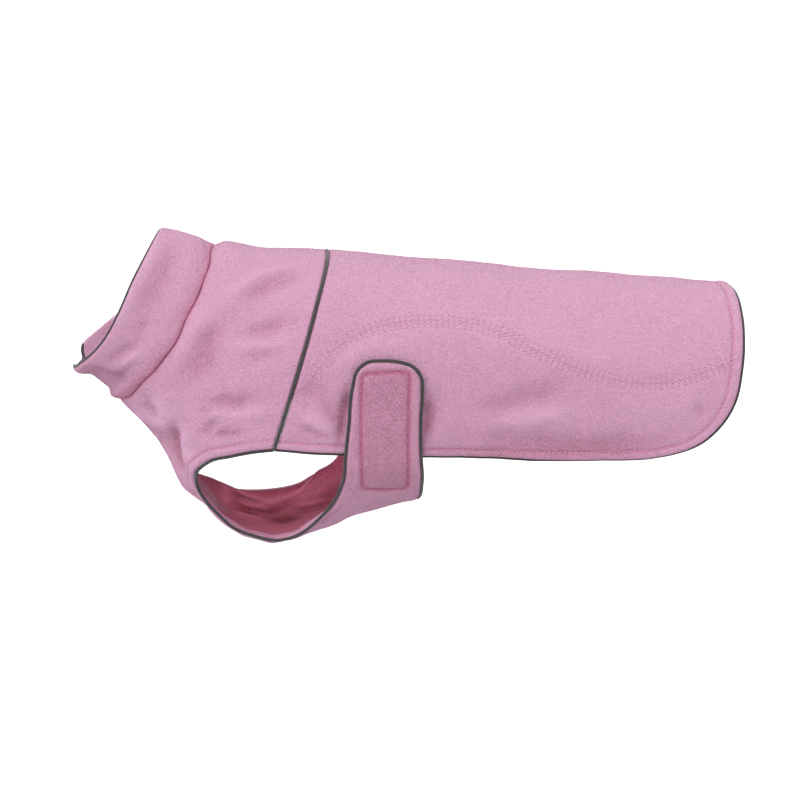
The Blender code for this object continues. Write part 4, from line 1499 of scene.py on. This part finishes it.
def brushed(panel):
    """The nap of one panel, on its outer face alone."""
    whole = panel.data
    half = len(whole.vertices) // 2
    faces = [tuple(p.vertices) for p in whole.polygons if max(p.vertices) < half]
    cloth = bpy.data.meshes.new(panel.name + "_nap")
    cloth.from_pydata([tuple(v.co) for v in whole.vertices[:half]], [], faces)
    # the tufts take the panel's painted shade along
    for label in ("crease", "shade"):
        values = np.empty(2 * half, np.float32)
        whole.attributes[label].data.foreach_get("value", values)
        cloth.attributes.new(label, "FLOAT", "POINT").data.foreach_set("value", values[:half])
    nap = made_by(NAP_TUFTS, panel.name + "_nap", cloth,
                  {"Density": TUFTS / MM ** 2, "Length": TUFT * MM, "Width": TUFT_WIDTH * MM,
                   "Finish": FLEECE})
    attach(nap, "root")
    return nap


Cut = namedtuple("Cut", "panel width length area stitching")     # metres, square metres
CUTS = [
    Cut("back_panel", 0.230, 0.247, 0.0372, ["hem_topstitch"]),
    Cut("side_panel_left", 0.084, 0.245, 0.0168, ["flatlock_rows_left"]),
    Cut("side_panel_right", 0.084, 0.245, 0.0168, ["flatlock_rows_right"]),
    Cut("front_panel", 0.500, 0.155, 0.0501,
        ["armhole_topstitch", "armhole_lining_rows", "tape_topstitch"]),
    Cut("collar_panel", 0.300, 0.046, 0.0105, []),
]
for cut in CUTS:
    panel = bpy.data.objects[cut.panel]
    nap = brushed(panel)

# Floor, light and camera: a plain pale floor far below the coat, even light all round with a
# soft light from above and in front, and the camera level with the back, a little above.
FLOOR_Z = -0.62
TARGET = Vector((0.043, 0.0, -0.09275))
DISTANCE = 1.2
AZIMUTH, ELEVATION = np.radians(-3.0), np.radians(15.0)
back_to_camera = Vector((np.sin(AZIMUTH) * np.cos(ELEVATION),
                         -np.cos(AZIMUTH) * np.cos(ELEVATION), np.sin(ELEVATION)))
camera = bpy.data.objects.new("camera", bpy.data.cameras.new("camera"))
bpy.context.scene.collection.objects.link(camera)
camera.data.sensor_width = 36.0
camera.data.lens = 88.5
camera.location = TARGET + back_to_camera * DISTANCE
camera.rotation_euler = (-back_to_camera).to_track_quat("-Z", "Y").to_euler()
bpy.context.scene.camera = camera
bpy.context.scene.view_settings.view_transform = "Standard"

floor_mesh = bpy.data.meshes.new("floor")
around = np.linspace(0, 2 * np.pi, 96, endpoint=False)
floor_mesh.from_pydata([(14 * np.cos(a), 14 * np.sin(a), FLOOR_Z) for a in around], [],
                       [tuple(range(96))])
floor = bpy.data.objects.new("floor", floor_mesh)
bpy.context.scene.collection.objects.link(floor)
floor_material, floor_tree, floor_shader = new_material("pale floor")
seen = node(floor_tree, "ShaderNodeLightPath").outputs["Is Camera Ray"]
paper = mixed_colour(floor_tree, seen, (0.56, 0.54, 0.56, 1), (0.94, 0.94, 0.94, 1))
plug(floor_shader, {"Base Color": paper, "Roughness": 0.9})
floor_mesh.materials.append(floor_material)

world = bpy.data.worlds.new("studio")
bpy.context.scene.world = world
world.use_nodes = True
world.node_tree.nodes["Background"].inputs["Color"].default_value = (1.0, 1.0, 1.0, 1)
world.node_tree.nodes["Background"].inputs["Strength"].default_value = 1.20


def softbox(name, direction, spread, strength):
    """A wide soft light from one direction, even over the whole floor."""
    lamp = bpy.data.lights.new(name, "SUN")
    lamp.angle = np.radians(spread)
    lamp.energy = strength
    light = bpy.data.objects.new(name, lamp)
    light.rotation_euler = Vector(direction).to_track_quat("Z", "Y").to_euler()
    bpy.context.scene.collection.objects.link(light)


softbox("overhead_light", (-0.45, -0.60, 0.75), 40.0, 1.6)
softbox("front_light", (-1.0, -0.30, 0.0), 60.0, 0.55)
